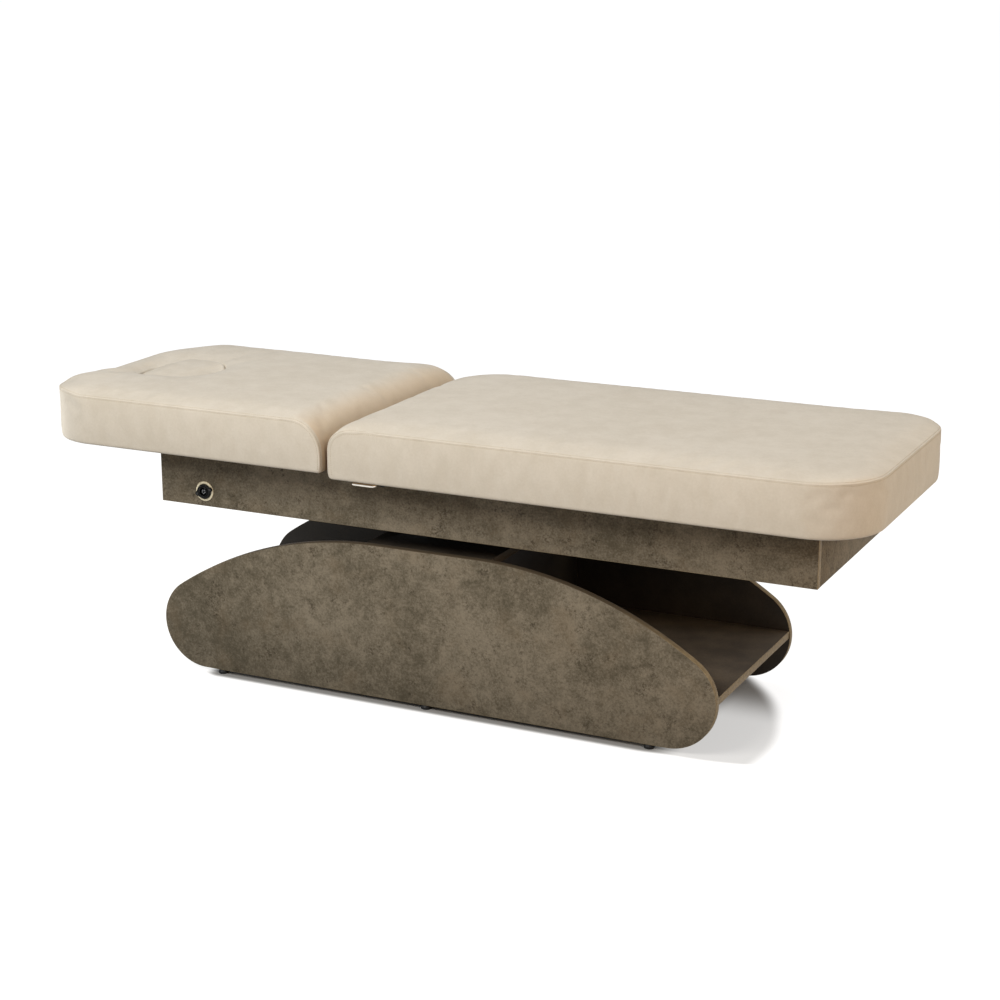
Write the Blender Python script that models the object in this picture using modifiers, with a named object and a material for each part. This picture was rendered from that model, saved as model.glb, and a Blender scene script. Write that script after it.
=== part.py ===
"""Electric spa couch: egg-shaped panel base, lifting column, boxed top and two upholstered sections.

Metres, +Z up. +X runs from the head end to the foot end, the near long side faces -Y.
The origin is on the floor, under the middle of the mattress.
"""
import math

import bmesh
import bpy
from mathutils import Matrix, Vector

# Clearances
FIT = 0.0003
RUNNING_FIT = 0.0004
CUTTER_REACH = 0.004

# Mattress
MATTRESS_LENGTH = 2.010
MATTRESS_WIDTH = 0.690
HEAD_SECTION_LENGTH = 0.771
SECTION_GAP = 0.019
CUSHION_THICKNESS = 0.118
CROWN_HEIGHT = 0.010
CROWN_RUN = 0.150
FOOT_CORNER_RADIUS = 0.140
HEAD_CORNER_RADIUS = 0.140
GAP_CORNER_RADIUS = 0.014
HEAD_BULLNOSE_RADIUS = 0.075
SEAT_BULLNOSE_RADIUS = 0.050
SIDE_DRAW_IN = 0.003
SEAM_INSET = 0.002
UNDERSIDE_TUCK = 0.006
UNDERSIDE_ROLL = 0.018
BOARD_THICKNESS = 0.015
BOARD_INSET = 0.016

# Face hole and its plug
FACE_HOLE_LENGTH = 0.205
FACE_HOLE_WIDTH = 0.190
FACE_HOLE_CORNER = 0.085
FACE_HOLE_FROM_HEAD = 0.180
FACE_HOLE_ROLL = 0.012
FACE_LEDGE = 0.012
PLUG_CLEARANCE = 0.0005

# Apron box under the mattress
HEAD_OVERHANG = 0.290
FOOT_OVERHANG = 0.120
SIDE_OVERHANG = 0.0835
APRON_HEIGHT = 0.125
BOARD_STOCK = 0.018
HEAD_RAISE = 0.0105
REST_PAD_LENGTH = 0.040
REST_PAD_WIDTH = 0.014
REST_PAD_FROM_END = 0.100

# Base
BASE_OFFSET = -0.0235
BASE_WIDTH = 0.520
PANEL_LENGTH = 1.397
PANEL_HEIGHT = 0.3625
PANEL_END_RADIUS = 0.110
PANEL_TOP_FLAT = 0.250
LIFT_GAP = 0.0395
GLIDE_HEIGHT = 0.010
GLIDE_RADIUS = 0.012
GLIDE_SPACING = 0.545
SHELF_LENGTH = 1.392
SHELF_TOP_HEIGHT = 0.136
HOUSING_LENGTH = 0.315
COVER_DROP = 0.0025

# Steel base under the column
BASE_TUBE_WIDTH = 0.040
BASE_TUBE_HEIGHT = 0.028
BASE_TUBE_WALL = 0.0025
BASE_TUBE_SPACING = 0.110
BASE_TUBE_LIFT = 0.0015
BASE_PLATE_LENGTH = 0.300
BASE_PLATE_WIDTH = 0.240
BASE_PLATE_THICKNESS = 0.006

# Lifting column
OUTER_TUBE_LENGTH = 0.200
OUTER_TUBE_WIDTH = 0.160
TUBE_WALL = 0.004
TUBE_CORNER = 0.010
STAGE_CLEARANCE = 0.004
STAGE_STEP = 0.010
MIDDLE_TUBE_RISE = 0.014
COLLAR_HEIGHT = 0.012
SHOE_HEIGHT = 0.020
COLUMN_HOLE_CLEARANCE = 0.001
TOP_PLATE_LENGTH = 0.260
TOP_PLATE_WIDTH = 0.300
TOP_PLATE_THICKNESS = 0.008
TOP_PLATE_LIFT = 0.004

# Spindle drive inside the column
GEARBOX_LENGTH = 0.138
GEARBOX_WIDTH = 0.080
GEARBOX_HEIGHT = 0.045
SPINDLE_FROM_CENTRE = 0.040
SPINDLE_TUBE_RADIUS = 0.024
SPINDLE_TUBE_WALL = 0.004
SPINDLE_TUBE_DROP = 0.015
PUSH_TUBE_RADIUS = 0.018
PUSH_TUBE_WALL = 0.003
PUSH_TUBE_LIFT = 0.003
MOTOR_FROM_CENTRE = 0.035
MOTOR_RADIUS = 0.028
MOTOR_HEIGHT = 0.095
MOTOR_CAP_RADIUS = 0.020

# Ladder frame inside the apron
RAIL_WIDTH = 0.030
LONG_RAIL_HEIGHT = 0.060
RAIL_WALL = 0.002
LONG_RAIL_SPACING = 0.120
LONG_RAIL_END_GAP = 0.006
MID_RAIL_FROM_FOOT = 0.500
SPRING_RAIL_SET_BACK = 0.014

# Section hinges
HINGE_HEIGHT = 0.0737
HINGE_FROM_APRON = 0.0135
LEAF_WIDTH = 0.060
LEAF_THICKNESS = 0.003
LEAF_FOOT = 0.080
KNUCKLE_RADIUS = 0.0055
KNUCKLE_WEB = 0.0035
KNUCKLE_LENGTH = 0.020
HINGE_PIN_RADIUS = 0.003
HINGE_PIN_HEAD_RADIUS = 0.0045
HINGE_PIN_HEAD = 0.0015

# Gas spring of the head section, placed from the hinge axis
SPRING_FRAME_REACH = 0.120
SPRING_BOARD_REACH = 0.100
SPRING_DROP = 0.160
SPRING_BODY_RADIUS = 0.014
SPRING_BODY_START = 0.027
SPRING_NECK_RADIUS = 0.0045
SPRING_BODY_END = 0.190
SPRING_ROD_RADIUS = 0.005
SPRING_ROD_START = 0.036
SPRING_EYE_RADIUS = 0.010
SPRING_EYE_WIDTH = 0.010
SPRING_PIN_RADIUS = 0.004
SPRING_PIN_OVERHANG = 0.003
BRACKET_WALL = 0.004
BRACKET_SIDE_CLEARANCE = 0.001
BRACKET_LENGTH = 0.028
BRACKET_END = 0.014

# Release lever
LEVER_FROM_HINGE = 0.1025
LEVER_DROP = 0.014
LEVER_ROD_RADIUS = 0.004
LEVER_REACH = 0.0385
LEVER_GRIP = 0.056
LEVER_BEND = 0.010
LEVER_INSIDE = 0.040
LEVER_CRANK = 0.022
BUSH_RADIUS = 0.007
BUSH_FLANGE_RADIUS = 0.010
BUSH_FLANGE = 0.002

# Hand control socket and control box
SOCKET_FROM_HEAD = 0.120
SOCKET_HEIGHT = 0.036
BEZEL_RADIUS = 0.0232
BEZEL_BAND = 0.0062
BEZEL_THICKNESS = 0.003
SOCKET_FLANGE_RADIUS = 0.0185
SOCKET_EAR_RADIUS = 0.0065
SOCKET_EAR_REACH = 0.0165
SOCKET_EAR_TURN = math.radians(24)
SOCKET_FLANGE = 0.004
SOCKET_BARREL_RADIUS = 0.0155
SOCKET_BARREL_LENGTH = 0.030
SOCKET_RECESS_RADIUS = 0.010
SOCKET_RECESS_DEPTH = 0.009
SOCKET_CORE_RADIUS = 0.0055
CONTROL_BOX_LENGTH = 0.190
CONTROL_BOX_DEPTH = 0.052
CONTROL_BOX_HEIGHT = 0.078
CONTROL_BOX_FROM_HEAD = 0.210
CONTROL_BOX_LIFT = 0.020
CONTROL_BOX_ROUND = 0.004

# Places worked out from the sizes above
HEAD_END = -MATTRESS_LENGTH / 2
FOOT_END = MATTRESS_LENGTH / 2
HINGE_X = HEAD_END + HEAD_SECTION_LENGTH + SECTION_GAP / 2
HEAD_CUSHION_END = HINGE_X - SECTION_GAP / 2
SEAT_CUSHION_END = HINGE_X + SECTION_GAP / 2
PANEL_BOTTOM = GLIDE_HEIGHT
PANEL_TOP = PANEL_BOTTOM + PANEL_HEIGHT
BASE_INNER = BASE_WIDTH / 2 - BOARD_STOCK
COVER_TOP = PANEL_TOP - COVER_DROP
COVER_BOTTOM = COVER_TOP - BOARD_STOCK
APRON_BOTTOM = PANEL_TOP + LIFT_GAP
APRON_TOP = APRON_BOTTOM + APRON_HEIGHT
APRON_HEAD = HEAD_END + HEAD_OVERHANG
APRON_FOOT = FOOT_END - FOOT_OVERHANG
APRON_LENGTH = APRON_FOOT - APRON_HEAD
APRON_WIDTH = MATTRESS_WIDTH - 2 * SIDE_OVERHANG
APRON_INNER = APRON_WIDTH / 2 - BOARD_STOCK
SEAT_UNDERSIDE = APRON_TOP + FIT
HEAD_UNDERSIDE = APRON_TOP + HEAD_RAISE
HINGE_Z = SEAT_UNDERSIDE + HINGE_HEIGHT
HINGE_SPREAD = APRON_INNER - HINGE_FROM_APRON - LEAF_WIDTH / 2
FACE_HOLE_X = HEAD_END + FACE_HOLE_FROM_HEAD
BASE_TUBE_BOTTOM = PANEL_BOTTOM + BASE_TUBE_LIFT
BASE_PLATE_BOTTOM = BASE_TUBE_BOTTOM + BASE_TUBE_HEIGHT + FIT
COLUMN_BOTTOM = BASE_PLATE_BOTTOM + BASE_PLATE_THICKNESS + FIT
OUTER_TUBE_TOP = COVER_BOTTOM - COLLAR_HEIGHT - 2 * FIT
MIDDLE_TUBE_BOTTOM = COLUMN_BOTTOM + STAGE_STEP
MIDDLE_TUBE_TOP = COVER_TOP + MIDDLE_TUBE_RISE
INNER_TUBE_BOTTOM = MIDDLE_TUBE_BOTTOM + STAGE_STEP
TOP_PLATE_BOTTOM = APRON_BOTTOM + TOP_PLATE_LIFT
TOP_PLATE_TOP = TOP_PLATE_BOTTOM + TOP_PLATE_THICKNESS
INNER_TUBE_TOP = TOP_PLATE_BOTTOM - FIT
MIDDLE_TUBE_LENGTH = OUTER_TUBE_LENGTH - 2 * (TUBE_WALL + STAGE_CLEARANCE)
MIDDLE_TUBE_WIDTH = OUTER_TUBE_WIDTH - 2 * (TUBE_WALL + STAGE_CLEARANCE)
INNER_TUBE_LENGTH = MIDDLE_TUBE_LENGTH - 2 * (TUBE_WALL + STAGE_CLEARANCE)
INNER_TUBE_WIDTH = MIDDLE_TUBE_WIDTH - 2 * (TUBE_WALL + STAGE_CLEARANCE)
GEARBOX_TOP = COLUMN_BOTTOM + GEARBOX_HEIGHT
LONG_RAIL_BOTTOM = TOP_PLATE_TOP + FIT
LONG_RAIL_TOP = LONG_RAIL_BOTTOM + LONG_RAIL_HEIGHT
CROSS_RAIL_BOTTOM = LONG_RAIL_TOP + FIT
CROSS_RAIL_HEIGHT = APRON_TOP - CROSS_RAIL_BOTTOM
CROSS_RAIL_HALF = APRON_INNER - FIT
SPRING_Z = HINGE_Z - SPRING_DROP
SPRING_FRAME_X = HINGE_X + SPRING_FRAME_REACH
SPRING_BOARD_X = HINGE_X - SPRING_BOARD_REACH
BRACKET_INNER = SPRING_EYE_WIDTH / 2 + BRACKET_SIDE_CLEARANCE
BRACKET_OUTER = BRACKET_INNER + BRACKET_WALL
LEVER_X = HINGE_X + LEVER_FROM_HINGE
LEVER_Z = APRON_TOP - LEVER_DROP
SOCKET_X = APRON_HEAD + SOCKET_FROM_HEAD
SOCKET_Z = APRON_BOTTOM + SOCKET_HEIGHT
FRONT_FACE = -APRON_WIDTH / 2

for leftover in list(bpy.data.objects):
    bpy.data.objects.remove(leftover, do_unlink=True)

PARTS = bpy.data.collections.new("spa_couch")
CUTTERS = bpy.data.collections.new("spa_couch_cutters")
for new_collection in (PARTS, CUTTERS):
    bpy.context.scene.collection.children.link(new_collection)


def finish(name, colour, roughness, metallic=0.0):
    material = bpy.data.materials.new(name)
    material.use_nodes = True
    shader = material.node_tree.nodes["Principled BSDF"]
    shader.inputs["Base Color"].default_value = (*colour, 1.0)
    shader.inputs["Roughness"].default_value = roughness
    shader.inputs["Metallic"].default_value = metallic
    return material


LAMINATE = finish("stone_laminate", (0.16, 0.14, 0.11), 0.55)
UPHOLSTERY = finish("cream_leatherette", (0.66, 0.58, 0.48), 0.5)
PLYWOOD = finish("birch_plywood", (0.52, 0.38, 0.24), 0.6)
BLACK_STEEL = finish("black_painted_steel", (0.02, 0.02, 0.02), 0.45)
COLUMN_STEEL = finish("grey_painted_steel", (0.22, 0.22, 0.23), 0.4)
BRIGHT_STEEL = finish("bright_steel", (0.72, 0.72, 0.74), 0.25, 1.0)
CHROME = finish("chrome", (0.86, 0.85, 0.84), 0.08, 1.0)
PALE_RING = finish("pale_brass", (0.72, 0.66, 0.5), 0.3, 0.6)
BLACK_PLASTIC = finish("black_plastic", (0.012, 0.012, 0.013), 0.35)
GUIDE_PLASTIC = finish("guide_plastic", (0.75, 0.74, 0.7), 0.5)
RUBBER = finish("black_rubber", (0.015, 0.015, 0.015), 0.8)


def world_place(obj):
    """World position of an unrotated parent chain."""
    place = Vector((0.0, 0.0, 0.0))
    while obj is not None:
        place += obj.location
        obj = obj.parent
    return place


def add_empty(name, centre, parent=None):
    empty = bpy.data.objects.new(name, None)
    empty.parent = parent
    empty.location = Vector(centre) - world_place(parent)
    PARTS.objects.link(empty)
    return empty


def add_part(name, data, material, parent, centre, rotation=(0.0, 0.0, 0.0)):
    """One sub-part, at a world position, under the empty that carries it."""
    data.materials.append(material)
    part = bpy.data.objects.new(name, data)
    PARTS.objects.link(part)
    part.parent = parent
    part.location = Vector(centre) - world_place(parent)
    part.rotation_euler = rotation
    return part


def add_cutter(name, mesh, like, offset=(0.0, 0.0, 0.0), rotation=(0.0, 0.0, 0.0)):
    """A hidden cutting body, placed in the frame of the part that it shapes."""
    cutter = bpy.data.objects.new(name, mesh)
    CUTTERS.objects.link(cutter)
    cutter.parent = like
    cutter.location = offset
    cutter.rotation_euler = rotation
    cutter.hide_render = True
    cutter.display_type = "WIRE"
    return cutter


def shape_with(part, cutter, operation):
    modifier = part.modifiers.new(f"{operation.lower()} {cutter.name}", "BOOLEAN")
    modifier.operation = operation
    modifier.object = cutter


def mesh_from(builder):
    """Mesh with its faces turned out, from a bmesh that is already closed."""
    bmesh.ops.recalc_face_normals(builder, faces=builder.faces)
    mesh = bpy.data.meshes.new("shape")
    builder.to_mesh(mesh)
    builder.free()
    return mesh


def box_mesh(length, width, height):
    builder = bmesh.new()
    bmesh.ops.create_cube(builder, size=1.0, matrix=Matrix.Diagonal((length, width, height, 1.0)))
    return mesh_from(builder)


def cylinder_mesh(radius, length, segments=24):
    builder = bmesh.new()
    bmesh.ops.create_cone(
        builder, cap_ends=True, segments=segments, radius1=radius, radius2=radius, depth=length
    )
    return mesh_from(builder)


def smooth(part, angle=40.0):
    part.data.shade_smooth()
    part.data.set_sharp_from_angle(angle=math.radians(angle))


def arc(centre, radius, start, end, steps):
    """Points along an arc, angles in degrees, both ends included."""
    points = []
    for step in range(steps + 1):
        angle = math.radians(start + (end - start) * step / steps)
        points.append((centre[0] + radius * math.cos(angle), centre[1] + radius * math.sin(angle)))
    return points


def circle(radius, steps=24, centre=(0.0, 0.0)):
    return arc(centre, radius, 0.0, 360.0, steps)[:-1]


def rounded_rectangle(length, width, radius, steps=4):
    """Outline about the origin, counter-clockwise from the low corner's side."""
    x, y = length / 2 - radius, width / 2 - radius
    points = arc((-x, -y), radius, 180, 270, steps) + arc((x, -y), radius, 270, 360, steps)
    return points + arc((x, y), radius, 0, 90, steps) + arc((-x, y), radius, 90, 180, steps)


def plate_curve(loops, thickness):
    """Flat outlines, the first around the others, given a thickness about their own plane."""
    curve = bpy.data.curves.new("outline", "CURVE")
    curve.dimensions = "2D"
    curve.fill_mode = "BOTH"
    curve.extrude = thickness / 2
    for loop in loops:
        spline = curve.splines.new("POLY")
        spline.points.add(len(loop) - 1)
        for point, (x, y) in zip(spline.points, loop):
            point.co = (x, y, 0.0, 1.0)
        spline.use_cyclic_u = True
    return curve


def plate_mesh(loops, thickness):
    """The same plate as a welded mesh, for a piece that is cut or joined."""
    guide = bpy.data.objects.new("outline", plate_curve(loops, thickness))
    PARTS.objects.link(guide)
    bpy.context.view_layer.update()
    evaluated = guide.evaluated_get(bpy.context.evaluated_depsgraph_get())
    raw = bpy.data.meshes.new_from_object(evaluated)
    bpy.data.objects.remove(guide, do_unlink=True)
    builder = bmesh.new()
    builder.from_mesh(raw)
    bmesh.ops.remove_doubles(builder, verts=builder.verts, dist=0.00001)
    return mesh_from(builder)


STANDING_ALONG_Y = (math.radians(90), 0.0, 0.0)
STANDING_ALONG_X = (math.radians(90), 0.0, math.radians(90))


def turned(name, profile, material, parent, centre, rotation=(0.0, 0.0, 0.0), closed=False, steps=24):
    """Body turned about its own Z from (radius, height) points that run down the outer side."""
    mesh = bpy.data.meshes.new("profile")
    count = len(profile)
    edges = [(index, index + 1) for index in range(count - 1)]
    if closed:
        edges.append((count - 1, 0))
    mesh.from_pydata([(radius, 0.0, height) for radius, height in profile], edges, [])
    part = add_part(name, mesh, material, parent, centre, rotation)
    screw = part.modifiers.new("turn", "SCREW")
    screw.axis = "Z"
    screw.angle = math.radians(360)
    screw.steps = steps
    screw.render_steps = steps
    screw.use_merge_vertices = True
    screw.merge_threshold = 0.00001
    screw.use_smooth_shade = False
    return part


def section_tube(
    name, length, width, wall, corner, run, material, parent, centre, rotation=(0.0, 0.0, 0.0)
):
    """Hollow rectangular section; run is its length along its own Z."""
    outer = rounded_rectangle(length, width, corner)
    inner = rounded_rectangle(length - 2 * wall, width - 2 * wall, corner - wall / 2)
    return add_part(name, plate_curve([outer, inner], run), material, parent, centre, rotation)


def loft(outlines):
    """Closed body through rings of equal count, capped at both ends."""
    builder = bmesh.new()
    rows = [[builder.verts.new(point) for point in outline] for outline in outlines]
    for below, above in zip(rows, rows[1:]):
        for index in range(len(below)):
            ahead = (index + 1) % len(below)
            builder.faces.new((below[index], below[ahead], above[ahead], above[index]))
    builder.faces.new(rows[0])
    builder.faces.new(rows[-1])
    return mesh_from(builder)


# Base: side panels, shelf, housing, glides

def panel_outline():
    """Half-egg outline: flat foot, round ends, and two long arcs that meet the flat of the top."""
    end_x = PANEL_LENGTH / 2 - PANEL_END_RADIUS
    end_z = PANEL_END_RADIUS
    flat = PANEL_TOP_FLAT / 2
    run, rise = end_x - flat, PANEL_HEIGHT - end_z
    # A long arc tangent to the top flat and to the end circle inside it
    long_radius = (run**2 + rise**2 - PANEL_END_RADIUS**2) / (2 * (rise - PANEL_END_RADIUS))
    long_z = PANEL_HEIGHT - long_radius
    meeting = math.degrees(math.atan2(end_z - long_z, run))
    right = arc((end_x, end_z), PANEL_END_RADIUS, -90, meeting, 14)
    right += arc((flat, long_z), long_radius, meeting, 90, 12)[1:]
    return right + [(-x, z) for x, z in reversed(right)]


def build_base(base):
    panel_y = BASE_INNER + BOARD_STOCK / 2
    for name, side in (("side_panel_front", -1), ("side_panel_rear", 1)):
        centre = (BASE_OFFSET, side * panel_y, PANEL_BOTTOM)
        panel = plate_curve([panel_outline()], BOARD_STOCK)
        add_part(name, panel, LAMINATE, base, centre, STANDING_ALONG_Y)
    inner_width = 2 * (BASE_INNER - FIT)
    column_hole = rounded_rectangle(
        OUTER_TUBE_LENGTH + 2 * COLUMN_HOLE_CLEARANCE,
        OUTER_TUBE_WIDTH + 2 * COLUMN_HOLE_CLEARANCE,
        TUBE_CORNER,
    )
    shelf = [rounded_rectangle(SHELF_LENGTH, inner_width, FIT, 1), column_hole]
    shelf_z = SHELF_TOP_HEIGHT - BOARD_STOCK / 2
    add_part("shelf_board", plate_curve(shelf, BOARD_STOCK), LAMINATE, base, (BASE_OFFSET, 0.0, shelf_z))
    wall_height = COVER_BOTTOM - SHELF_TOP_HEIGHT - 2 * FIT
    wall_z = SHELF_TOP_HEIGHT + FIT + wall_height / 2
    wall_x = HOUSING_LENGTH / 2 - BOARD_STOCK / 2
    for name, side in (("housing_panel_head", -1), ("housing_panel_foot", 1)):
        mesh = box_mesh(BOARD_STOCK, inner_width, wall_height)
        add_part(name, mesh, LAMINATE, base, (BASE_OFFSET + side * wall_x, 0.0, wall_z))
    cover_hole = rounded_rectangle(
        MIDDLE_TUBE_LENGTH + 2 * STAGE_CLEARANCE, MIDDLE_TUBE_WIDTH + 2 * STAGE_CLEARANCE, TUBE_CORNER
    )
    cover = [rounded_rectangle(HOUSING_LENGTH, inner_width, FIT, 1), cover_hole]
    cover_z = COVER_TOP - BOARD_STOCK / 2
    add_part("housing_cover", plate_curve(cover, BOARD_STOCK), LAMINATE, base, (BASE_OFFSET, 0.0, cover_z))
    for row, side in (("front", -1), ("rear", 1)):
        for place, step in (("head", -1), ("middle", 0), ("foot", 1)):
            build_glide(f"glide_{row}_{place}", base, BASE_OFFSET + step * GLIDE_SPACING, side * panel_y)


def build_glide(name, base, x, y):
    top = GLIDE_HEIGHT - FIT
    sections = [(GLIDE_RADIUS * 0.9, 0.0), (GLIDE_RADIUS, top * 0.15), (GLIDE_RADIUS, top * 0.6)]
    sections.append((GLIDE_RADIUS * 0.8, top))
    mesh = loft([[(u, v, height) for u, v in circle(radius, 16)] for radius, height in sections])
    smooth(add_part(name, mesh, BLACK_PLASTIC, base, (x, y, 0.0)))


def build_steel_base(base):
    tube_z = BASE_TUBE_BOTTOM + BASE_TUBE_HEIGHT / 2
    for name, side in (("base_tube_head", -1), ("base_tube_foot", 1)):
        section_tube(
            name, BASE_TUBE_WIDTH, BASE_TUBE_HEIGHT, BASE_TUBE_WALL, BASE_TUBE_WALL, 2 * (BASE_INNER - FIT),
            BLACK_STEEL, base, (BASE_OFFSET + side * BASE_TUBE_SPACING, 0.0, tube_z), STANDING_ALONG_Y,
        )
    mesh = box_mesh(BASE_PLATE_LENGTH, BASE_PLATE_WIDTH, BASE_PLATE_THICKNESS)
    plate_z = BASE_PLATE_BOTTOM + BASE_PLATE_THICKNESS / 2
    add_part("base_plate", mesh, BLACK_STEEL, base, (BASE_OFFSET, 0.0, plate_z))


# Lifting column and its drive

def column_tube(name, length, width, bottom, top, parent):
    section_tube(
        name, length, width, TUBE_WALL, TUBE_CORNER, top - bottom,
        COLUMN_STEEL, parent, (BASE_OFFSET, 0.0, (bottom + top) / 2),
    )


def guide_ring(name, outer, inner, bottom, height, parent):
    """Plastic guide between two tube sizes, each given as (length, width, corner)."""
    loops = [rounded_rectangle(*outer), rounded_rectangle(*inner)]
    centre = (BASE_OFFSET, 0.0, bottom + height / 2)
    add_part(name, plate_curve(loops, height), GUIDE_PLASTIC, parent, centre)


def grown(length, width, amount):
    return (length + 2 * amount, width + 2 * amount, TUBE_CORNER)


def build_column(base, middle, top):
    outer = (OUTER_TUBE_LENGTH, OUTER_TUBE_WIDTH)
    middle_size = (MIDDLE_TUBE_LENGTH, MIDDLE_TUBE_WIDTH)
    inner = (INNER_TUBE_LENGTH, INNER_TUBE_WIDTH)
    column_tube("column_outer_tube", *outer, COLUMN_BOTTOM, OUTER_TUBE_TOP, base)
    column_tube("column_middle_tube", *middle_size, MIDDLE_TUBE_BOTTOM, MIDDLE_TUBE_TOP, middle)
    column_tube("column_inner_tube", *inner, INNER_TUBE_BOTTOM, INNER_TUBE_TOP, top)
    guide_ring(
        "guide_collar_lower", grown(*outer, 0.0), grown(*middle_size, RUNNING_FIT),
        OUTER_TUBE_TOP + FIT, COLLAR_HEIGHT, base,
    )
    guide_ring(
        "guide_collar_upper", grown(*middle_size, 0.0), grown(*inner, RUNNING_FIT),
        MIDDLE_TUBE_TOP + FIT, COLLAR_HEIGHT, middle,
    )
    guide_ring(
        "guide_shoe_lower", grown(*middle_size, STAGE_CLEARANCE - RUNNING_FIT), grown(*middle_size, FIT),
        MIDDLE_TUBE_BOTTOM, SHOE_HEIGHT, middle,
    )
    guide_ring(
        "guide_shoe_upper", grown(*inner, STAGE_CLEARANCE - RUNNING_FIT), grown(*inner, FIT),
        INNER_TUBE_BOTTOM, SHOE_HEIGHT, top,
    )
    mesh = box_mesh(TOP_PLATE_LENGTH, TOP_PLATE_WIDTH, TOP_PLATE_THICKNESS)
    plate_z = TOP_PLATE_BOTTOM + TOP_PLATE_THICKNESS / 2
    add_part("column_top_plate", mesh, BLACK_STEEL, top, (BASE_OFFSET, 0.0, plate_z))


def build_drive(base, top):
    mesh = box_mesh(GEARBOX_LENGTH, GEARBOX_WIDTH, GEARBOX_HEIGHT)
    gearbox = add_part(
        "lift_gearbox", mesh, BLACK_PLASTIC, base, (BASE_OFFSET, 0.0, COLUMN_BOTTOM + GEARBOX_HEIGHT / 2)
    )
    round_edges(gearbox, CONTROL_BOX_ROUND)
    motor_z = GEARBOX_TOP + FIT
    shoulder = MOTOR_HEIGHT * 0.86
    profile = [(0.0, MOTOR_HEIGHT), (MOTOR_CAP_RADIUS, MOTOR_HEIGHT), (MOTOR_CAP_RADIUS, shoulder)]
    profile += [(MOTOR_RADIUS, shoulder), (MOTOR_RADIUS, 0.0), (0.0, 0.0)]
    motor_place = (BASE_OFFSET + MOTOR_FROM_CENTRE, 0.0, motor_z)
    smooth(turned("lift_motor", profile, BLACK_STEEL, base, motor_place))
    spindle_x = BASE_OFFSET - SPINDLE_FROM_CENTRE
    spindle_top = INNER_TUBE_TOP - SPINDLE_TUBE_DROP
    spindle_size = (SPINDLE_TUBE_RADIUS, SPINDLE_TUBE_WALL)
    round_tube("lift_spindle_tube", *spindle_size, motor_z, spindle_top, spindle_x, base)
    push_bottom = motor_z + PUSH_TUBE_LIFT
    push_size = (PUSH_TUBE_RADIUS, PUSH_TUBE_WALL)
    round_tube("lift_push_tube", *push_size, push_bottom, INNER_TUBE_TOP, spindle_x, top)


def round_tube(name, radius, wall, bottom, top, x, parent):
    loops = [circle(radius, 20), circle(radius - wall, 20)]
    centre = (x, 0.0, (bottom + top) / 2)
    add_part(name, plate_curve(loops, top - bottom), BRIGHT_STEEL, parent, centre)


def round_edges(part, width, segments=2):
    bevel = part.modifiers.new("rounded edges", "BEVEL")
    bevel.width = width
    bevel.segments = segments
    bevel.limit_method = "ANGLE"


# Apron and ladder frame

def build_apron(top):
    middle_x = (APRON_HEAD + APRON_FOOT) / 2
    middle_z = (APRON_BOTTOM + APRON_TOP) / 2
    long_y = APRON_INNER + BOARD_STOCK / 2
    outline = rounded_rectangle(APRON_LENGTH, APRON_HEIGHT, FIT, 1)
    lever_hole = circle(BUSH_RADIUS + FIT, 16, (LEVER_X - middle_x, LEVER_Z - middle_z))
    socket_hole = circle(SOCKET_BARREL_RADIUS + FIT, 24, (SOCKET_X - middle_x, SOCKET_Z - middle_z))
    front = plate_curve([outline, lever_hole, socket_hole], BOARD_STOCK)
    add_part("apron_front", front, LAMINATE, top, (middle_x, -long_y, middle_z), STANDING_ALONG_Y)
    rear = plate_curve([outline], BOARD_STOCK)
    add_part("apron_rear", rear, LAMINATE, top, (middle_x, long_y, middle_z), STANDING_ALONG_Y)
    for name, x in (
        ("apron_head", APRON_HEAD + BOARD_STOCK / 2),
        ("apron_foot", APRON_FOOT - BOARD_STOCK / 2),
    ):
        mesh = box_mesh(BOARD_STOCK, 2 * (APRON_INNER - FIT), APRON_HEIGHT)
        add_part(name, mesh, LAMINATE, top, (x, 0.0, middle_z))
    pad_height = HEAD_RAISE - 2 * FIT
    for name, side in (("rest_pad_front", -1), ("rest_pad_rear", 1)):
        mesh = box_mesh(REST_PAD_LENGTH, REST_PAD_WIDTH, pad_height)
        pad_centre = (APRON_HEAD + REST_PAD_FROM_END, side * long_y, APRON_TOP + FIT + pad_height / 2)
        round_edges(add_part(name, mesh, RUBBER, top, pad_centre), pad_height / 5, 1)


def build_frame(top):
    rail_head = APRON_HEAD + BOARD_STOCK + LONG_RAIL_END_GAP
    rail_foot = APRON_FOOT - BOARD_STOCK - LONG_RAIL_END_GAP
    rail_x = (rail_head + rail_foot) / 2
    rail_z = LONG_RAIL_BOTTOM + LONG_RAIL_HEIGHT / 2
    for name, side in (("long_rail_front", -1), ("long_rail_rear", 1)):
        section_tube(
            name, RAIL_WIDTH, LONG_RAIL_HEIGHT, RAIL_WALL, RAIL_WALL, rail_foot - rail_head,
            BLACK_STEEL, top, (rail_x, side * LONG_RAIL_SPACING, rail_z), STANDING_ALONG_X,
        )
    cross_z = CROSS_RAIL_BOTTOM + CROSS_RAIL_HEIGHT / 2
    end_inset = BOARD_STOCK + FIT + RAIL_WIDTH / 2
    for name, x in (
        ("cross_rail_head", APRON_HEAD + end_inset),
        ("cross_rail_spring", SPRING_FRAME_X + SPRING_RAIL_SET_BACK),
        ("cross_rail_seat", APRON_FOOT - MID_RAIL_FROM_FOOT),
        ("cross_rail_foot", APRON_FOOT - end_inset),
    ):
        section_tube(
            name, RAIL_WIDTH, CROSS_RAIL_HEIGHT, RAIL_WALL, RAIL_WALL, 2 * CROSS_RAIL_HALF,
            BLACK_STEEL, top, (x, 0.0, cross_z), STANDING_ALONG_Y,
        )


# Hand control socket, control box, release lever

FACING_FRONT = (math.radians(90), 0.0, 0.0)


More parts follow.
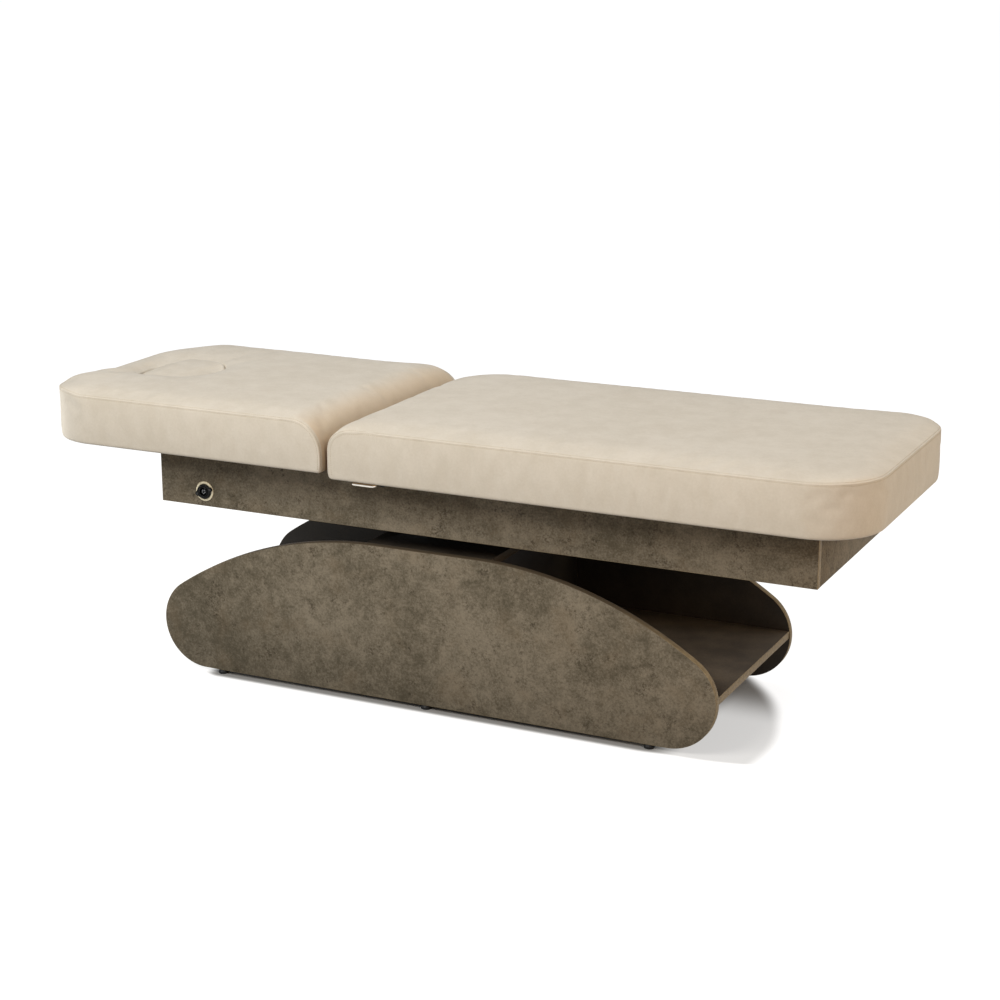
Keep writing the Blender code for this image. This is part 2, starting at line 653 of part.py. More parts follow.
def build_socket(top):
    ring_front = BEZEL_THICKNESS
    inner = BEZEL_RADIUS - BEZEL_BAND
    soft = BEZEL_THICKNESS / 3
    profile = [(inner + soft, ring_front), (BEZEL_RADIUS - soft, ring_front)]
    profile += [(BEZEL_RADIUS, ring_front - soft), (BEZEL_RADIUS, 0.0)]
    profile += [(inner, 0.0), (inner, ring_front - soft)]
    ring_place = (SOCKET_X, FRONT_FACE - FIT, SOCKET_Z)
    ring = turned("socket_bezel", profile, PALE_RING, top, ring_place, FACING_FRONT, closed=True, steps=32)
    smooth(ring)
    # Round flange with an ear on each side
    flange = []
    for turn in (SOCKET_EAR_TURN, SOCKET_EAR_TURN + math.pi):
        ear = (SOCKET_EAR_REACH * math.cos(turn), SOCKET_EAR_REACH * math.sin(turn))
        facing = math.degrees(turn)
        flange += arc(ear, SOCKET_EAR_RADIUS, facing - 75, facing + 75, 8)
        flange += arc((0.0, 0.0), SOCKET_FLANGE_RADIUS, facing + 38, facing + 142, 8)
    flange_y = FRONT_FACE - 2 * FIT - BEZEL_THICKNESS - SOCKET_FLANGE / 2
    socket = add_part(
        "control_socket", plate_mesh([flange], SOCKET_FLANGE), BLACK_PLASTIC, top,
        (SOCKET_X, flange_y, SOCKET_Z), FACING_FRONT,
    )
    barrel = cylinder_mesh(SOCKET_BARREL_RADIUS, SOCKET_BARREL_LENGTH)
    barrel_drop = SOCKET_BARREL_LENGTH / 2
    shape_with(socket, add_cutter("socket_barrel", barrel, socket, (0.0, 0.0, -barrel_drop)), "UNION")
    recess_loops = [circle(SOCKET_RECESS_RADIUS, 20), circle(SOCKET_CORE_RADIUS, 20)]
    recess = plate_mesh(recess_loops, SOCKET_RECESS_DEPTH)
    recess_z = SOCKET_FLANGE / 2 + CUTTER_REACH - SOCKET_RECESS_DEPTH / 2
    shape_with(socket, add_cutter("socket_recess", recess, socket, (0.0, 0.0, recess_z)), "DIFFERENCE")
    box_x = APRON_HEAD + CONTROL_BOX_FROM_HEAD + CONTROL_BOX_LENGTH / 2
    box_y = -APRON_INNER + FIT + CONTROL_BOX_DEPTH / 2
    box_z = APRON_BOTTOM + CONTROL_BOX_LIFT + CONTROL_BOX_HEIGHT / 2
    mesh = box_mesh(CONTROL_BOX_LENGTH, CONTROL_BOX_DEPTH, CONTROL_BOX_HEIGHT)
    round_edges(add_part("control_box", mesh, BLACK_PLASTIC, top, (box_x, box_y, box_z)), CONTROL_BOX_ROUND)


def bent_rod(corners, bend, steps=5):
    """Route through the corners with each inner one rounded to the bend radius."""
    route = [Vector(corners[0])]
    for before, corner, after in zip(corners, corners[1:], corners[2:]):
        corner = Vector(corner)
        back = (Vector(before) - corner).normalized()
        ahead = (Vector(after) - corner).normalized()
        centre = corner + (back + ahead) * bend
        for step in range(steps + 1):
            angle = math.radians(90 * step / steps)
            route.append(centre - ahead * bend * math.cos(angle) - back * bend * math.sin(angle))
    route.append(Vector(corners[-1]))
    return route


def build_lever(top, lever):
    lever_place = (LEVER_X, FRONT_FACE, LEVER_Z)
    corners = [
        (-LEVER_GRIP, -LEVER_REACH, 0.0),
        (0.0, -LEVER_REACH, 0.0),
        (0.0, LEVER_INSIDE, 0.0),
        (0.0, LEVER_INSIDE, -LEVER_CRANK),
    ]
    curve = bpy.data.curves.new("lever", "CURVE")
    curve.dimensions = "3D"
    curve.bevel_depth = LEVER_ROD_RADIUS
    curve.bevel_resolution = 3
    curve.use_fill_caps = True
    route = bent_rod(corners, LEVER_BEND)
    spline = curve.splines.new("POLY")
    spline.points.add(len(route) - 1)
    for point, place in zip(spline.points, route):
        point.co = (*place, 1.0)
    add_part("release_lever", curve, CHROME, lever, lever_place)
    bore = LEVER_ROD_RADIUS + RUNNING_FIT
    inside = -BOARD_STOCK - BUSH_FLANGE
    flange_front = FIT + BUSH_FLANGE
    profile = [(bore, flange_front), (BUSH_FLANGE_RADIUS, flange_front), (BUSH_FLANGE_RADIUS, FIT)]
    profile += [(BUSH_RADIUS, FIT), (BUSH_RADIUS, inside), (bore, inside)]
    bush = turned(
        "lever_bush", profile, BLACK_PLASTIC, top, lever_place, FACING_FRONT, closed=True, steps=16
    )
    smooth(bush)


# Upholstered sections

def cushion_outline(length, inset, gap_offset, corner_radius):
    """Plan outline as (distance from the gap end, y), always with the same number of points."""
    half = MATTRESS_WIDTH / 2 - inset
    far = length - inset
    gap_radius = max(GAP_CORNER_RADIUS - inset, SEAM_INSET)
    far_radius = max(corner_radius - inset, SEAM_INSET)
    near_side = arc((gap_offset + gap_radius, -half + gap_radius), gap_radius, 180, 270, 3)
    far_side = arc((far - far_radius, -half + far_radius), far_radius, 270, 360, 7)
    run_start, run_end = near_side[-1][0], far_side[0][0]
    run = []
    for share in (0.15, 0.32, 0.5, 0.68, 0.85):
        drawn_in = SIDE_DRAW_IN * (1.0 - (2.0 * share - 1.0) ** 2)
        run.append((run_start + (run_end - run_start) * share, -half + drawn_in))
    near = near_side + run + far_side
    return near + [(along, -y) for along, y in reversed(near)]


def cushion_mesh(length, corner_radius, bullnose_radius):
    """Crowned cushion on its board pocket, from the gap end (x = 0) along +X, underside at z = 0."""
    pocket_top = BOARD_THICKNESS + FIT
    rings = [
        (BOARD_INSET, BOARD_INSET, pocket_top),
        (BOARD_INSET, BOARD_INSET, 0.0),
        (UNDERSIDE_TUCK, UNDERSIDE_TUCK, 0.0),
        (UNDERSIDE_TUCK / 4, UNDERSIDE_TUCK / 4, UNDERSIDE_ROLL / 3),
        (0.0, 0.0, UNDERSIDE_ROLL),
    ]
    bullnose_z = CUSHION_THICKNESS - bullnose_radius
    for step in range(7):
        angle = math.radians(90 * step / 6)
        height = bullnose_z + bullnose_radius * math.sin(angle)
        to_seam = (height - UNDERSIDE_ROLL) / (CUSHION_THICKNESS - UNDERSIDE_ROLL)
        rings.append((SEAM_INSET * to_seam**2, bullnose_radius * (1.0 - math.cos(angle)), height))
    for share in (0.08, 0.25, 0.5, 1.0):
        inset = SEAM_INSET + CROWN_RUN * share
        crown = CROWN_HEIGHT * (1.0 - (1.0 - share) ** 2)
        rings.append((inset, bullnose_radius + CROWN_RUN * share, CUSHION_THICKNESS + crown))
    outlines = []
    for inset, gap_offset, height in rings:
        outline = cushion_outline(length, inset, gap_offset, corner_radius)
        outlines.append([(along, y, height) for along, y in outline])
    return loft(outlines)


def board_loops(length, corner_radius):
    return [cushion_outline(length, BOARD_INSET + FIT, BOARD_INSET + FIT, corner_radius)]


def build_seat(top):
    length = FOOT_END - SEAT_CUSHION_END
    mesh = cushion_mesh(length, FOOT_CORNER_RADIUS, SEAT_BULLNOSE_RADIUS)
    seat_place = (SEAT_CUSHION_END, 0.0, SEAT_UNDERSIDE)
    smooth(add_part("seat_cushion", mesh, UPHOLSTERY, top, seat_place))
    board_place = (SEAT_CUSHION_END, 0.0, SEAT_UNDERSIDE + BOARD_THICKNESS / 2)
    loops = board_loops(length, FOOT_CORNER_RADIUS)
    add_part("seat_board", plate_curve(loops, BOARD_THICKNESS), PLYWOOD, top, board_place)


def face_outline(margin):
    return rounded_rectangle(
        FACE_HOLE_LENGTH + 2 * margin, FACE_HOLE_WIDTH + 2 * margin, FACE_HOLE_CORNER + margin, 6
    )


def face_rings(sections):
    """Rings of the face hole's outline from (margin, height) pairs."""
    return [[(x, y, height) for x, y in face_outline(margin)] for margin, height in sections]


def rolled_edge(sign, margin, top_height):
    """Quarter round at the top of the hole (sign +1, opening) or of the plug (sign -1, closing)."""
    sections = []
    for step in range(4):
        angle = math.radians(90 * step / 3)
        reach = FACE_HOLE_ROLL * (1.0 - math.cos(angle))
        height = top_height - FACE_HOLE_ROLL * (1.0 - math.sin(angle))
        sections.append((margin + sign * reach, height))
    return sections


def build_head(head, plug):
    half_turn = (0.0, 0.0, math.pi)
    mesh = cushion_mesh(HEAD_SECTION_LENGTH, HEAD_CORNER_RADIUS, HEAD_BULLNOSE_RADIUS)
    head_place = (HEAD_CUSHION_END, 0.0, HEAD_UNDERSIDE)
    cushion = add_part("head_cushion", mesh, UPHOLSTERY, head, head_place, half_turn)
    # The hole is placed in the cushion's own frame, whose +X runs towards the head end
    hole_along = HEAD_SECTION_LENGTH - FACE_HOLE_FROM_HEAD
    top_height = CUSHION_THICKNESS + CROWN_HEIGHT
    sections = [(0.0, -CUTTER_REACH)] + rolled_edge(1, 0.0, top_height)
    sections.append((FACE_HOLE_ROLL, top_height + CUTTER_REACH))
    hole = add_cutter("face_hole", loft(face_rings(sections)), cushion, (hole_along, 0.0, 0.0))
    shape_with(cushion, hole, "DIFFERENCE")
    smooth(cushion)
    loops = board_loops(HEAD_SECTION_LENGTH, HEAD_CORNER_RADIUS)
    loops.append([(x + hole_along, y) for x, y in face_outline(-FACE_LEDGE)])
    board_place = (HEAD_CUSHION_END, 0.0, HEAD_UNDERSIDE + BOARD_THICKNESS / 2)
    add_part("head_board", plate_curve(loops, BOARD_THICKNESS), PLYWOOD, head, board_place, half_turn)
    sections = [(-PLUG_CLEARANCE - SEAM_INSET, BOARD_THICKNESS + FIT)]
    sections.append((-PLUG_CLEARANCE, BOARD_THICKNESS + FIT + SEAM_INSET))
    sections += rolled_edge(-1, -PLUG_CLEARANCE, top_height)
    plug_place = (FACE_HOLE_X, 0.0, HEAD_UNDERSIDE)
    smooth(add_part("face_plug", loft(face_rings(sections)), UPHOLSTERY, plug, plug_place))


# Section hinges

def leaf_outline(direction, foot_top):
    """Leaf from the near side, about the hinge axis: foot under the board, strap in the gap, knuckle."""
    strap_outer = SECTION_GAP / 2 - FIT
    strap_inner = strap_outer - LEAF_THICKNESS
    foot_bottom = foot_top - LEAF_THICKNESS
    opening = math.degrees(math.asin(KNUCKLE_WEB / KNUCKLE_RADIUS))
    points = [(LEAF_FOOT, foot_bottom), (strap_inner, foot_bottom), (strap_inner, -KNUCKLE_WEB)]
    points += arc((0.0, 0.0), KNUCKLE_RADIUS, -opening, -360 + opening, 18)
    points += [(strap_outer, KNUCKLE_WEB), (strap_outer, foot_top), (LEAF_FOOT, foot_top)]
    return [(direction * x, z) for x, z in points]


def build_leaf(name, carrier, direction, underside, y, cuts):
    """Hinge leaf with its knuckle kept only between the cuts, each given as (middle, length) along Y."""
    foot_top = underside - FIT - HINGE_Z
    loops = [leaf_outline(direction, foot_top), circle(HINGE_PIN_RADIUS + RUNNING_FIT, 16)]
    leaf = add_part(
        name, plate_mesh(loops, LEAF_WIDTH), BLACK_STEEL, carrier, (HINGE_X, y, HINGE_Z), STANDING_ALONG_Y
    )
    reach = KNUCKLE_RADIUS + FIT
    cut_far = SECTION_GAP / 2 - FIT - LEAF_THICKNESS - FIT / 2
    for index, (middle, length) in enumerate(cuts):
        block = box_mesh(reach + cut_far, 2 * reach, length)
        offset = (direction * (cut_far - reach) / 2, 0.0, middle)
        shape_with(leaf, add_cutter(f"{name}_knuckle_cut_{index}", block, leaf, offset), "DIFFERENCE")


def build_hinges(top, head):
    middle_cut = [(0.0, KNUCKLE_LENGTH + 2 * RUNNING_FIT)]
    side_length = (LEAF_WIDTH - KNUCKLE_LENGTH) / 2 + CUTTER_REACH
    side_middle = KNUCKLE_LENGTH / 2 + side_length / 2
    side_cuts = [(-side_middle, side_length), (side_middle, side_length)]
    for row, side in (("front", -1), ("rear", 1)):
        y = side * HINGE_SPREAD
        build_leaf(f"seat_hinge_leaf_{row}", top, 1, SEAT_UNDERSIDE, y, middle_cut)
        build_leaf(f"head_hinge_leaf_{row}", head, -1, HEAD_UNDERSIDE, y, side_cuts)
        half = LEAF_WIDTH / 2 + FIT
        tip = half + HINGE_PIN_HEAD
        profile = [(0.0, tip), (HINGE_PIN_HEAD_RADIUS, tip)]
        profile += [(HINGE_PIN_HEAD_RADIUS, half), (HINGE_PIN_RADIUS, half)]
        profile += [(radius, -height) for radius, height in reversed(profile)]
        pin_place = (HINGE_X, y, HINGE_Z)
        turned(f"hinge_pin_{row}", profile, BRIGHT_STEEL, top, pin_place, STANDING_ALONG_Y, steps=16)


# Gas spring

def channel_mesh(depth):
    """U channel about its open middle: base plate at z = 0, legs down to -depth, square to X."""
    loop = [
        (-BRACKET_OUTER, 0.0), (-BRACKET_OUTER, -depth),
        (-BRACKET_INNER, -depth), (-BRACKET_INNER, -BRACKET_WALL),
        (BRACKET_INNER, -BRACKET_WALL), (BRACKET_INNER, -depth),
        (BRACKET_OUTER, -depth), (BRACKET_OUTER, 0.0),
    ]
    return plate_mesh([loop], BRACKET_LENGTH)


def build_gas_spring(top, head, cylinder_pivot, rod_carrier):
    frame_depth = CROSS_RAIL_BOTTOM - FIT - SPRING_Z + BRACKET_END
    frame_place = (SPRING_FRAME_X, 0.0, CROSS_RAIL_BOTTOM - FIT)
    bracket = add_part(
        "spring_frame_bracket", channel_mesh(frame_depth), BLACK_STEEL, top, frame_place, STANDING_ALONG_X
    )
    pin_bore = SPRING_PIN_RADIUS + RUNNING_FIT
    bore = cylinder_mesh(pin_bore, 2 * BRACKET_OUTER + 2 * CUTTER_REACH, 20)
    bore_offset = (0.0, SPRING_Z - frame_place[2], 0.0)
    across = (0.0, math.radians(90), 0.0)
    shape_with(bracket, add_cutter("frame_bracket_bore", bore, bracket, bore_offset, across), "DIFFERENCE")
    pin = cylinder_mesh(SPRING_PIN_RADIUS, 2 * (BRACKET_OUTER + SPRING_PIN_OVERHANG), 20)
    spring_place = (SPRING_FRAME_X, 0.0, SPRING_Z)
    add_part("spring_frame_pin", pin, BRIGHT_STEEL, top, spring_place, STANDING_ALONG_Y)
    # The body's own +Z runs from the frame pivot towards the head section
    towards_head = (0.0, math.radians(-90), 0.0)
    rod_bore = SPRING_ROD_RADIUS + RUNNING_FIT
    bore_end = SPRING_ROD_START - CUTTER_REACH
    profile = [(0.0, bore_end), (rod_bore, bore_end), (rod_bore, SPRING_BODY_END)]
    profile += [(SPRING_BODY_RADIUS * 0.86, SPRING_BODY_END)]
    profile += [(SPRING_BODY_RADIUS, SPRING_BODY_END - SPRING_BODY_RADIUS * 0.14)]
    profile += [(SPRING_BODY_RADIUS, SPRING_BODY_START), (SPRING_NECK_RADIUS, SPRING_BODY_START)]
    profile += [(SPRING_NECK_RADIUS, SPRING_EYE_RADIUS / 2), (0.0, SPRING_EYE_RADIUS / 2)]
    body = turned("gas_spring_cylinder", profile, BLACK_STEEL, cylinder_pivot, spring_place, towards_head)
    eye = cylinder_mesh(SPRING_EYE_RADIUS, SPRING_EYE_WIDTH, 20)
    shape_with(body, add_cutter("spring_eye", eye, body, rotation=STANDING_ALONG_Y), "UNION")
    eye_bore = cylinder_mesh(pin_bore, SPRING_EYE_WIDTH + 2 * CUTTER_REACH, 20)
    shape_with(body, add_cutter("spring_eye_bore", eye_bore, body, rotation=STANDING_ALONG_Y), "DIFFERENCE")
    full = SPRING_FRAME_REACH + SPRING_BOARD_REACH
    rod_length = full - SPRING_ROD_START
    rod = add_part(
        "gas_spring_rod", cylinder_mesh(SPRING_ROD_RADIUS, rod_length, 16), BRIGHT_STEEL, rod_carrier,
        (SPRING_FRAME_X - SPRING_ROD_START - rod_length / 2, 0.0, SPRING_Z), towards_head,
    )
    tongue = cylinder_mesh(SPRING_EYE_RADIUS, SPRING_EYE_WIDTH, 20)
    tongue_offset = (0.0, 0.0, rod_length / 2)
    shape_with(rod, add_cutter("rod_tongue", tongue, rod, tongue_offset, STANDING_ALONG_Y), "UNION")
    board_depth = HEAD_UNDERSIDE - FIT - SPRING_Z + BRACKET_END
    board_place = (SPRING_BOARD_X, 0.0, HEAD_UNDERSIDE - FIT)
    channel = channel_mesh(board_depth)
    add_part("spring_board_bracket", channel, BLACK_STEEL, head, board_place, STANDING_ALONG_X)


def build_couch():
    base = add_empty("base", (BASE_OFFSET, 0.0, 0.0))
    middle = add_empty("middle_stage", (BASE_OFFSET, 0.0, MIDDLE_TUBE_BOTTOM), base)
    top = add_empty("couch_top", (0.0, 0.0, APRON_BOTTOM), middle)
    head = add_empty("head_section_hinge", (HINGE_X, 0.0, HINGE_Z), top)
    plug = add_empty("face_plug_lift", (FACE_HOLE_X, 0.0, HEAD_UNDERSIDE), head)
    cylinder_pivot = add_empty("gas_spring_pivot", (SPRING_FRAME_X, 0.0, SPRING_Z), top)
    rod_carrier = add_empty("gas_spring_slide", (SPRING_FRAME_X, 0.0, SPRING_Z), cylinder_pivot)
    lever = add_empty("release_lever_axis", (LEVER_X, FRONT_FACE, LEVER_Z), top)
    build_base(base)
    build_steel_base(base)
    build_column(base, middle, top)
    build_drive(base, top)
    build_apron(top)
    build_frame(top)
    build_socket(top)
    build_lever(top, lever)
    build_seat(top)
    build_head(head, plug)
    build_hinges(top, head)
    build_gas_spring(top, head, cylinder_pivot, rod_carrier)


build_couch()
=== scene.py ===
"""Spa couch: stone-look panel base, lifting column, boxed top and two upholstered sections with a face plug.

Metres, +Z up. +X runs from the head end to the foot end, and the near long side faces -Y.
"""
import math

import bmesh
import bpy
from mathutils import Matrix, Vector
from mathutils.bvhtree import BVHTree


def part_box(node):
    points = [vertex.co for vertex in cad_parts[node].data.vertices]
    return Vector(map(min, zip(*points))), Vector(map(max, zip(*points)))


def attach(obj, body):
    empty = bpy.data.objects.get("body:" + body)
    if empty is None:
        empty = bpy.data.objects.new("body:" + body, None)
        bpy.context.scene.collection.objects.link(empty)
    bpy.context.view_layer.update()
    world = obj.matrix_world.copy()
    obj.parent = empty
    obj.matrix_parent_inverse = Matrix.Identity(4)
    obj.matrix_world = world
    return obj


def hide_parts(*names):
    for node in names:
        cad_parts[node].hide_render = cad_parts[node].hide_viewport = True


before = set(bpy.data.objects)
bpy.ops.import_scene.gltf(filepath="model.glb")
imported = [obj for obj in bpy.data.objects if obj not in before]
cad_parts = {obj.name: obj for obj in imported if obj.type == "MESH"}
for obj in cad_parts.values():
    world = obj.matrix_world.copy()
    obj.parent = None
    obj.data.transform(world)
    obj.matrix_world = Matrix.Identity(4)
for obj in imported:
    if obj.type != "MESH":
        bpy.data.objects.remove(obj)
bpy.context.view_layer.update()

# ------------------------------------------------------------------ Studio
# A white floor, a large soft light high on the near head side, warm fills at the foot, weak ones elsewhere.
# The camera stands off the near foot corner, a little above the mattress, with a long lens.

CAMERA_PLACE = (2.0367, -4.1495, 1.6988)
CAMERA_TURN = math.radians(25.67)
CAMERA_DROP = math.radians(15.32)
CAMERA_LENS = 74.27
FLOOR_HALF = 120.0


class Shade:
    """One socket in a material's nodes. Arithmetic on it adds Math nodes."""

    def __init__(self, tree, socket=None):
        self.tree = tree
        self.socket = socket

    def node(self, kind, settings=None, sockets=None, output=0):
        """Any node: its settings are set first, then the values or links of its sockets."""
        made = self.tree.nodes.new(kind)
        for name, value in (settings or {}).items():
            setattr(made, name, value)
        for name, value in (sockets or {}).items():
            if isinstance(value, Shade):
                self.tree.links.new(value.socket, made.inputs[name])
            else:
                made.inputs[name].default_value = value
        return Shade(self.tree, made.outputs[output])

    def _math(self, operation, first, second):
        return self.node("ShaderNodeMath", {"operation": operation}, {0: first, 1: second})

    def __add__(self, other):
        return self._math("ADD", self, other)

    def __radd__(self, other):
        return self._math("ADD", other, self)

    def __sub__(self, other):
        return self._math("SUBTRACT", self, other)

    def __rsub__(self, other):
        return self._math("SUBTRACT", other, self)

    def __mul__(self, other):
        return self._math("MULTIPLY", self, other)

    def __rmul__(self, other):
        return self._math("MULTIPLY", other, self)

    def __abs__(self):
        return self._math("ABSOLUTE", self, 0.0)

    def ramp(self, start, end, low=0.0, high=1.0):
        """Smooth step of this value from low at start to high at end."""
        sockets = {"Value": self, "From Min": start, "From Max": end, "To Min": low, "To Max": high}
        return self.node("ShaderNodeMapRange", {"interpolation_type": "SMOOTHSTEP"}, sockets)

    def noise(self, scale, detail=3.0, roughness=0.55):
        """Noise over this vector, about 0 to 1."""
        sockets = {"Vector": self, "Scale": scale, "Detail": detail, "Roughness": roughness}
        return self.node("ShaderNodeTexNoise", None, sockets)

    def axis(self, name):
        """The X, Y or Z of this vector."""
        return self.node("ShaderNodeSeparateXYZ", None, {"Vector": self}, name)

    def stretched(self, scale, turn=(0.0, 0.0, 0.0)):
        """This vector scaled along its axes, so that a pattern is drawn out."""
        return self.node("ShaderNodeMapping", None, {"Vector": self, "Scale": scale, "Rotation": turn})

    def blend(self, first, second):
        """From the first colour to the second as this value goes from 0 to 1."""
        return self.node("ShaderNodeMix", {"data_type": "RGBA"}, {0: self, 6: first, 7: second}, 2)


def paint(red, green, blue):
    """Linear colour from the 0 to 255 values of a picture."""
    linear = []
    for value in (red, green, blue):
        share = value / 255
        linear.append(share / 12.92 if share <= 0.04045 else ((share + 0.055) / 1.055) ** 2.4)
    return (*linear, 1.0)


def new_finish(name, **constants):
    """A material, its shader and its Object coordinates. Constants are the shader's own sockets."""
    made = bpy.data.materials.new(name)
    made.use_nodes = True
    shader = made.node_tree.nodes["Principled BSDF"]
    for socket, value in constants.items():
        shader.inputs[socket.replace("_", " ")].default_value = value
    place = Shade(made.node_tree).node("ShaderNodeTexCoord", output="Object")
    return made, shader, place


def surface(shader, colour, roughness, height, depth):
    """What changes over the surface: its colour, its roughness, and a relief of that depth in metres."""
    tree = colour.tree
    tree.links.new(colour.socket, shader.inputs["Base Color"])
    tree.links.new(roughness.socket, shader.inputs["Roughness"])
    relief = height.node("ShaderNodeBump", None, {"Strength": 1.0, "Distance": depth, "Height": height})
    tree.links.new(relief.socket, shader.inputs["Normal"])


def new_piece(name, mesh, *finishes):
    """An object at the origin whose place is in its mesh."""
    for finish in finishes:
        mesh.materials.append(finish)
    piece = bpy.data.objects.new(name, mesh)
    bpy.context.scene.collection.objects.link(piece)
    return piece


floor_finish, shader, place = new_finish("studio_floor", Specular_IOR_Level=0.0)
floor_grain = place.noise(3.0)
floor_colour = floor_grain.blend((0.34, 0.34, 0.34, 1), (0.36, 0.36, 0.36, 1))
surface(shader, floor_colour, 0.9 + floor_grain * 0.05, floor_grain, 0.0)
# Outside the couch's own footprint the floor is overexposed, as a lit sweep is in a studio: a painted glow
# seen only by the camera and in reflections.
# Only beyond the foot end does a soft edge of shade stay, its outline painted by this mask; it runs back from
# the near corner in a curve, and a part-glow under the foot bay paints that shade lighter.
along = place.axis("X")
across = place.axis("Y")
# Painted light: a part-glow that lifts the shade under the foot bay.
painted_light_under_foot = along.ramp(0.50, 0.60) * across.ramp(0.20, -0.02, 0.14, 0.56)
past_foot = (along + across * 0.36 + across * across * 1.1).ramp(0.71, 0.79)
past_head = along.ramp(-0.57, -0.63)
past_side = (abs(across) - 0.262 + along.ramp(0.60, 1.60) * 0.35).ramp(0.0, 0.03)
glow = (painted_light_under_foot + past_foot + past_head + past_side).ramp(0.0, 1.0)
seen = place.node("ShaderNodeLightPath", output="Is Camera Ray")
mirrored = place.node("ShaderNodeLightPath", output="Is Glossy Ray")
glow = glow * (seen + mirrored * 0.75)
shader.inputs["Emission Strength"].default_value = 0.9
glow.tree.links.new(glow.blend((0, 0, 0, 1), (1, 1, 1, 1)).socket, shader.inputs["Emission Color"])
floor_sheet = bmesh.new()
bmesh.ops.create_grid(floor_sheet, x_segments=8, y_segments=8, size=FLOOR_HALF)
floor_mesh = bpy.data.meshes.new("studio_floor")
floor_sheet.to_mesh(floor_mesh)
floor_sheet.free()
new_piece("studio_floor", floor_mesh, floor_finish)

world = bpy.data.worlds.new("studio")
world.use_nodes = True
world.node_tree.nodes["Background"].inputs["Color"].default_value = (0.94, 0.98, 1.04, 1.0)
world.node_tree.nodes["Background"].inputs["Strength"].default_value = 0.35
bpy.context.scene.world = world


def soft_light(name, place, target, size, power, colour):
    light = bpy.data.lights.new(name, "AREA")
    light.color = colour
    light.shape = "RECTANGLE"
    light.size, light.size_y = size
    light.energy = power
    lamp = bpy.data.objects.new(name, light)
    bpy.context.scene.collection.objects.link(lamp)
    lamp.location = place
    lamp.rotation_euler = (Vector(target) - Vector(place)).to_track_quat("-Z", "Y").to_euler()


soft_light("near_light", (-1.0, -3.2, 3.4), (0.0, 0.0, 0.45), (2.0, 2.0), 128, (1.0, 0.965, 0.90))
soft_light("foot_light", (3.1, 0.9, 1.4), (0.9, 0.0, 0.5), (1.2, 1.2), 15, (1.0, 0.86, 0.62))
soft_light("warm_fill", (2.9, -1.6, 1.2), (0.8, -0.2, 0.55), (1.0, 0.8), 13, (1.0, 0.58, 0.22))
soft_light("rear_light", (-0.3, 1.6, 3.8), (0.0, 0.0, 0.4), (2.4, 1.6), 18, (1.0, 0.98, 0.96))
soft_light("head_fill", (-2.0, 0.0, 0.32), (-0.35, 0.2, 0.33), (0.5, 0.3), 4, (1.0, 0.95, 0.86))

camera_data = bpy.data.cameras.new("camera")
camera_data.lens = CAMERA_LENS
camera_data.sensor_width = 36.0
camera_data.clip_end = 400.0
camera = bpy.data.objects.new("camera", camera_data)
bpy.context.scene.collection.objects.link(camera)
camera.location = CAMERA_PLACE
camera.rotation_euler = (math.pi / 2 - CAMERA_DROP, 0.0, CAMERA_TURN)
bpy.context.scene.camera = camera
bpy.context.scene.view_settings.view_transform = "Standard"

# ------------------------------------------------------------------ Side panels
# Two egg-shaped panels of 18 mm chipboard: taupe stone-look laminate outside, plain dark laminate inside, its
# darkness painted shade.
# A pale plastic band is glued round the whole edge and its arrises are softened by hand.

BOARD_STOCK = 0.018
ARRIS = 0.0007
BASE_X = -0.0235
PANEL_LENGTH = 1.397
PANEL_HEIGHT = 0.3625
PANEL_FOOT = 0.010
PANEL_Y = 0.251
PANEL_END_RADIUS = 0.110
PANEL_TOP_FLAT = 0.250
STANDING_ALONG_Y = Matrix.Rotation(math.pi / 2, 4, "X")
STANDING_ALONG_X = Matrix.Rotation(math.pi / 2, 4, "Z") @ STANDING_ALONG_Y


def stone_laminate():
    """Clouded taupe with fine grain and clusters of dark specks."""
    made, shader, place = new_finish("taupe_stone_laminate", Specular_IOR_Level=0.06)
    clouds = place.noise(5.0, 3.0, 0.5)
    mottle = place.noise(30.0, 6.0, 0.74)
    grain = place.noise(210.0, 4.0, 0.75)
    tone = clouds * 0.30 + mottle * 0.34 + grain * 0.36
    colour = tone.ramp(0.385, 0.625).blend(paint(89, 82, 68), paint(141, 131, 114))
    warm = place.noise(11.0, 4.0, 0.6).ramp(0.5, 0.72)
    colour = (warm * 0.3).blend(colour, paint(124, 109, 88))
    specks = place.noise(20.0, 4.0, 0.75).ramp(0.52, 0.66) * place.noise(190.0, 4.0, 0.8).ramp(0.46, 0.58)
    colour = (specks * 0.7).blend(colour, paint(58, 50, 39))
    surface(shader, colour, 0.46 + mottle * 0.2, grain * 0.6 + mottle * 0.4, 0.00025)
    return made


def plain_laminate(name, dark, light):
    made, shader, place = new_finish(name, Specular_IOR_Level=0.3)
    clouds = place.noise(16.0, 5.0, 0.6)
    grain = place.noise(300.0)
    colour = (clouds * 0.7 + grain * 0.3).ramp(0.35, 0.65).blend(dark, light)
    surface(shader, colour, 0.5 + clouds * 0.2, grain, 0.0002)
    return made


def edge_band(name, dark, light):
    made, shader, place = new_finish(name, Specular_IOR_Level=0.18)
    streak = place.stretched((9.0, 60.0, 60.0)).noise(2.0, 4.0)
    grain = place.noise(420.0)
    colour = (streak * 0.7 + grain * 0.3).ramp(0.35, 0.65).blend(dark, light)
    # Along the top of the panels, under the couch top, the band is painted darker: painted shade.
    height = place.axis("Z")
    painted_top_shade = height.ramp(0.20, 0.33) * height.ramp(0.41, 0.40) * (0.85 + grain * 0.15)
    colour = painted_top_shade.blend(colour, paint(78, 68, 55))
    surface(shader, colour, 0.42 + streak * 0.16, grain, 0.0001)
    return made


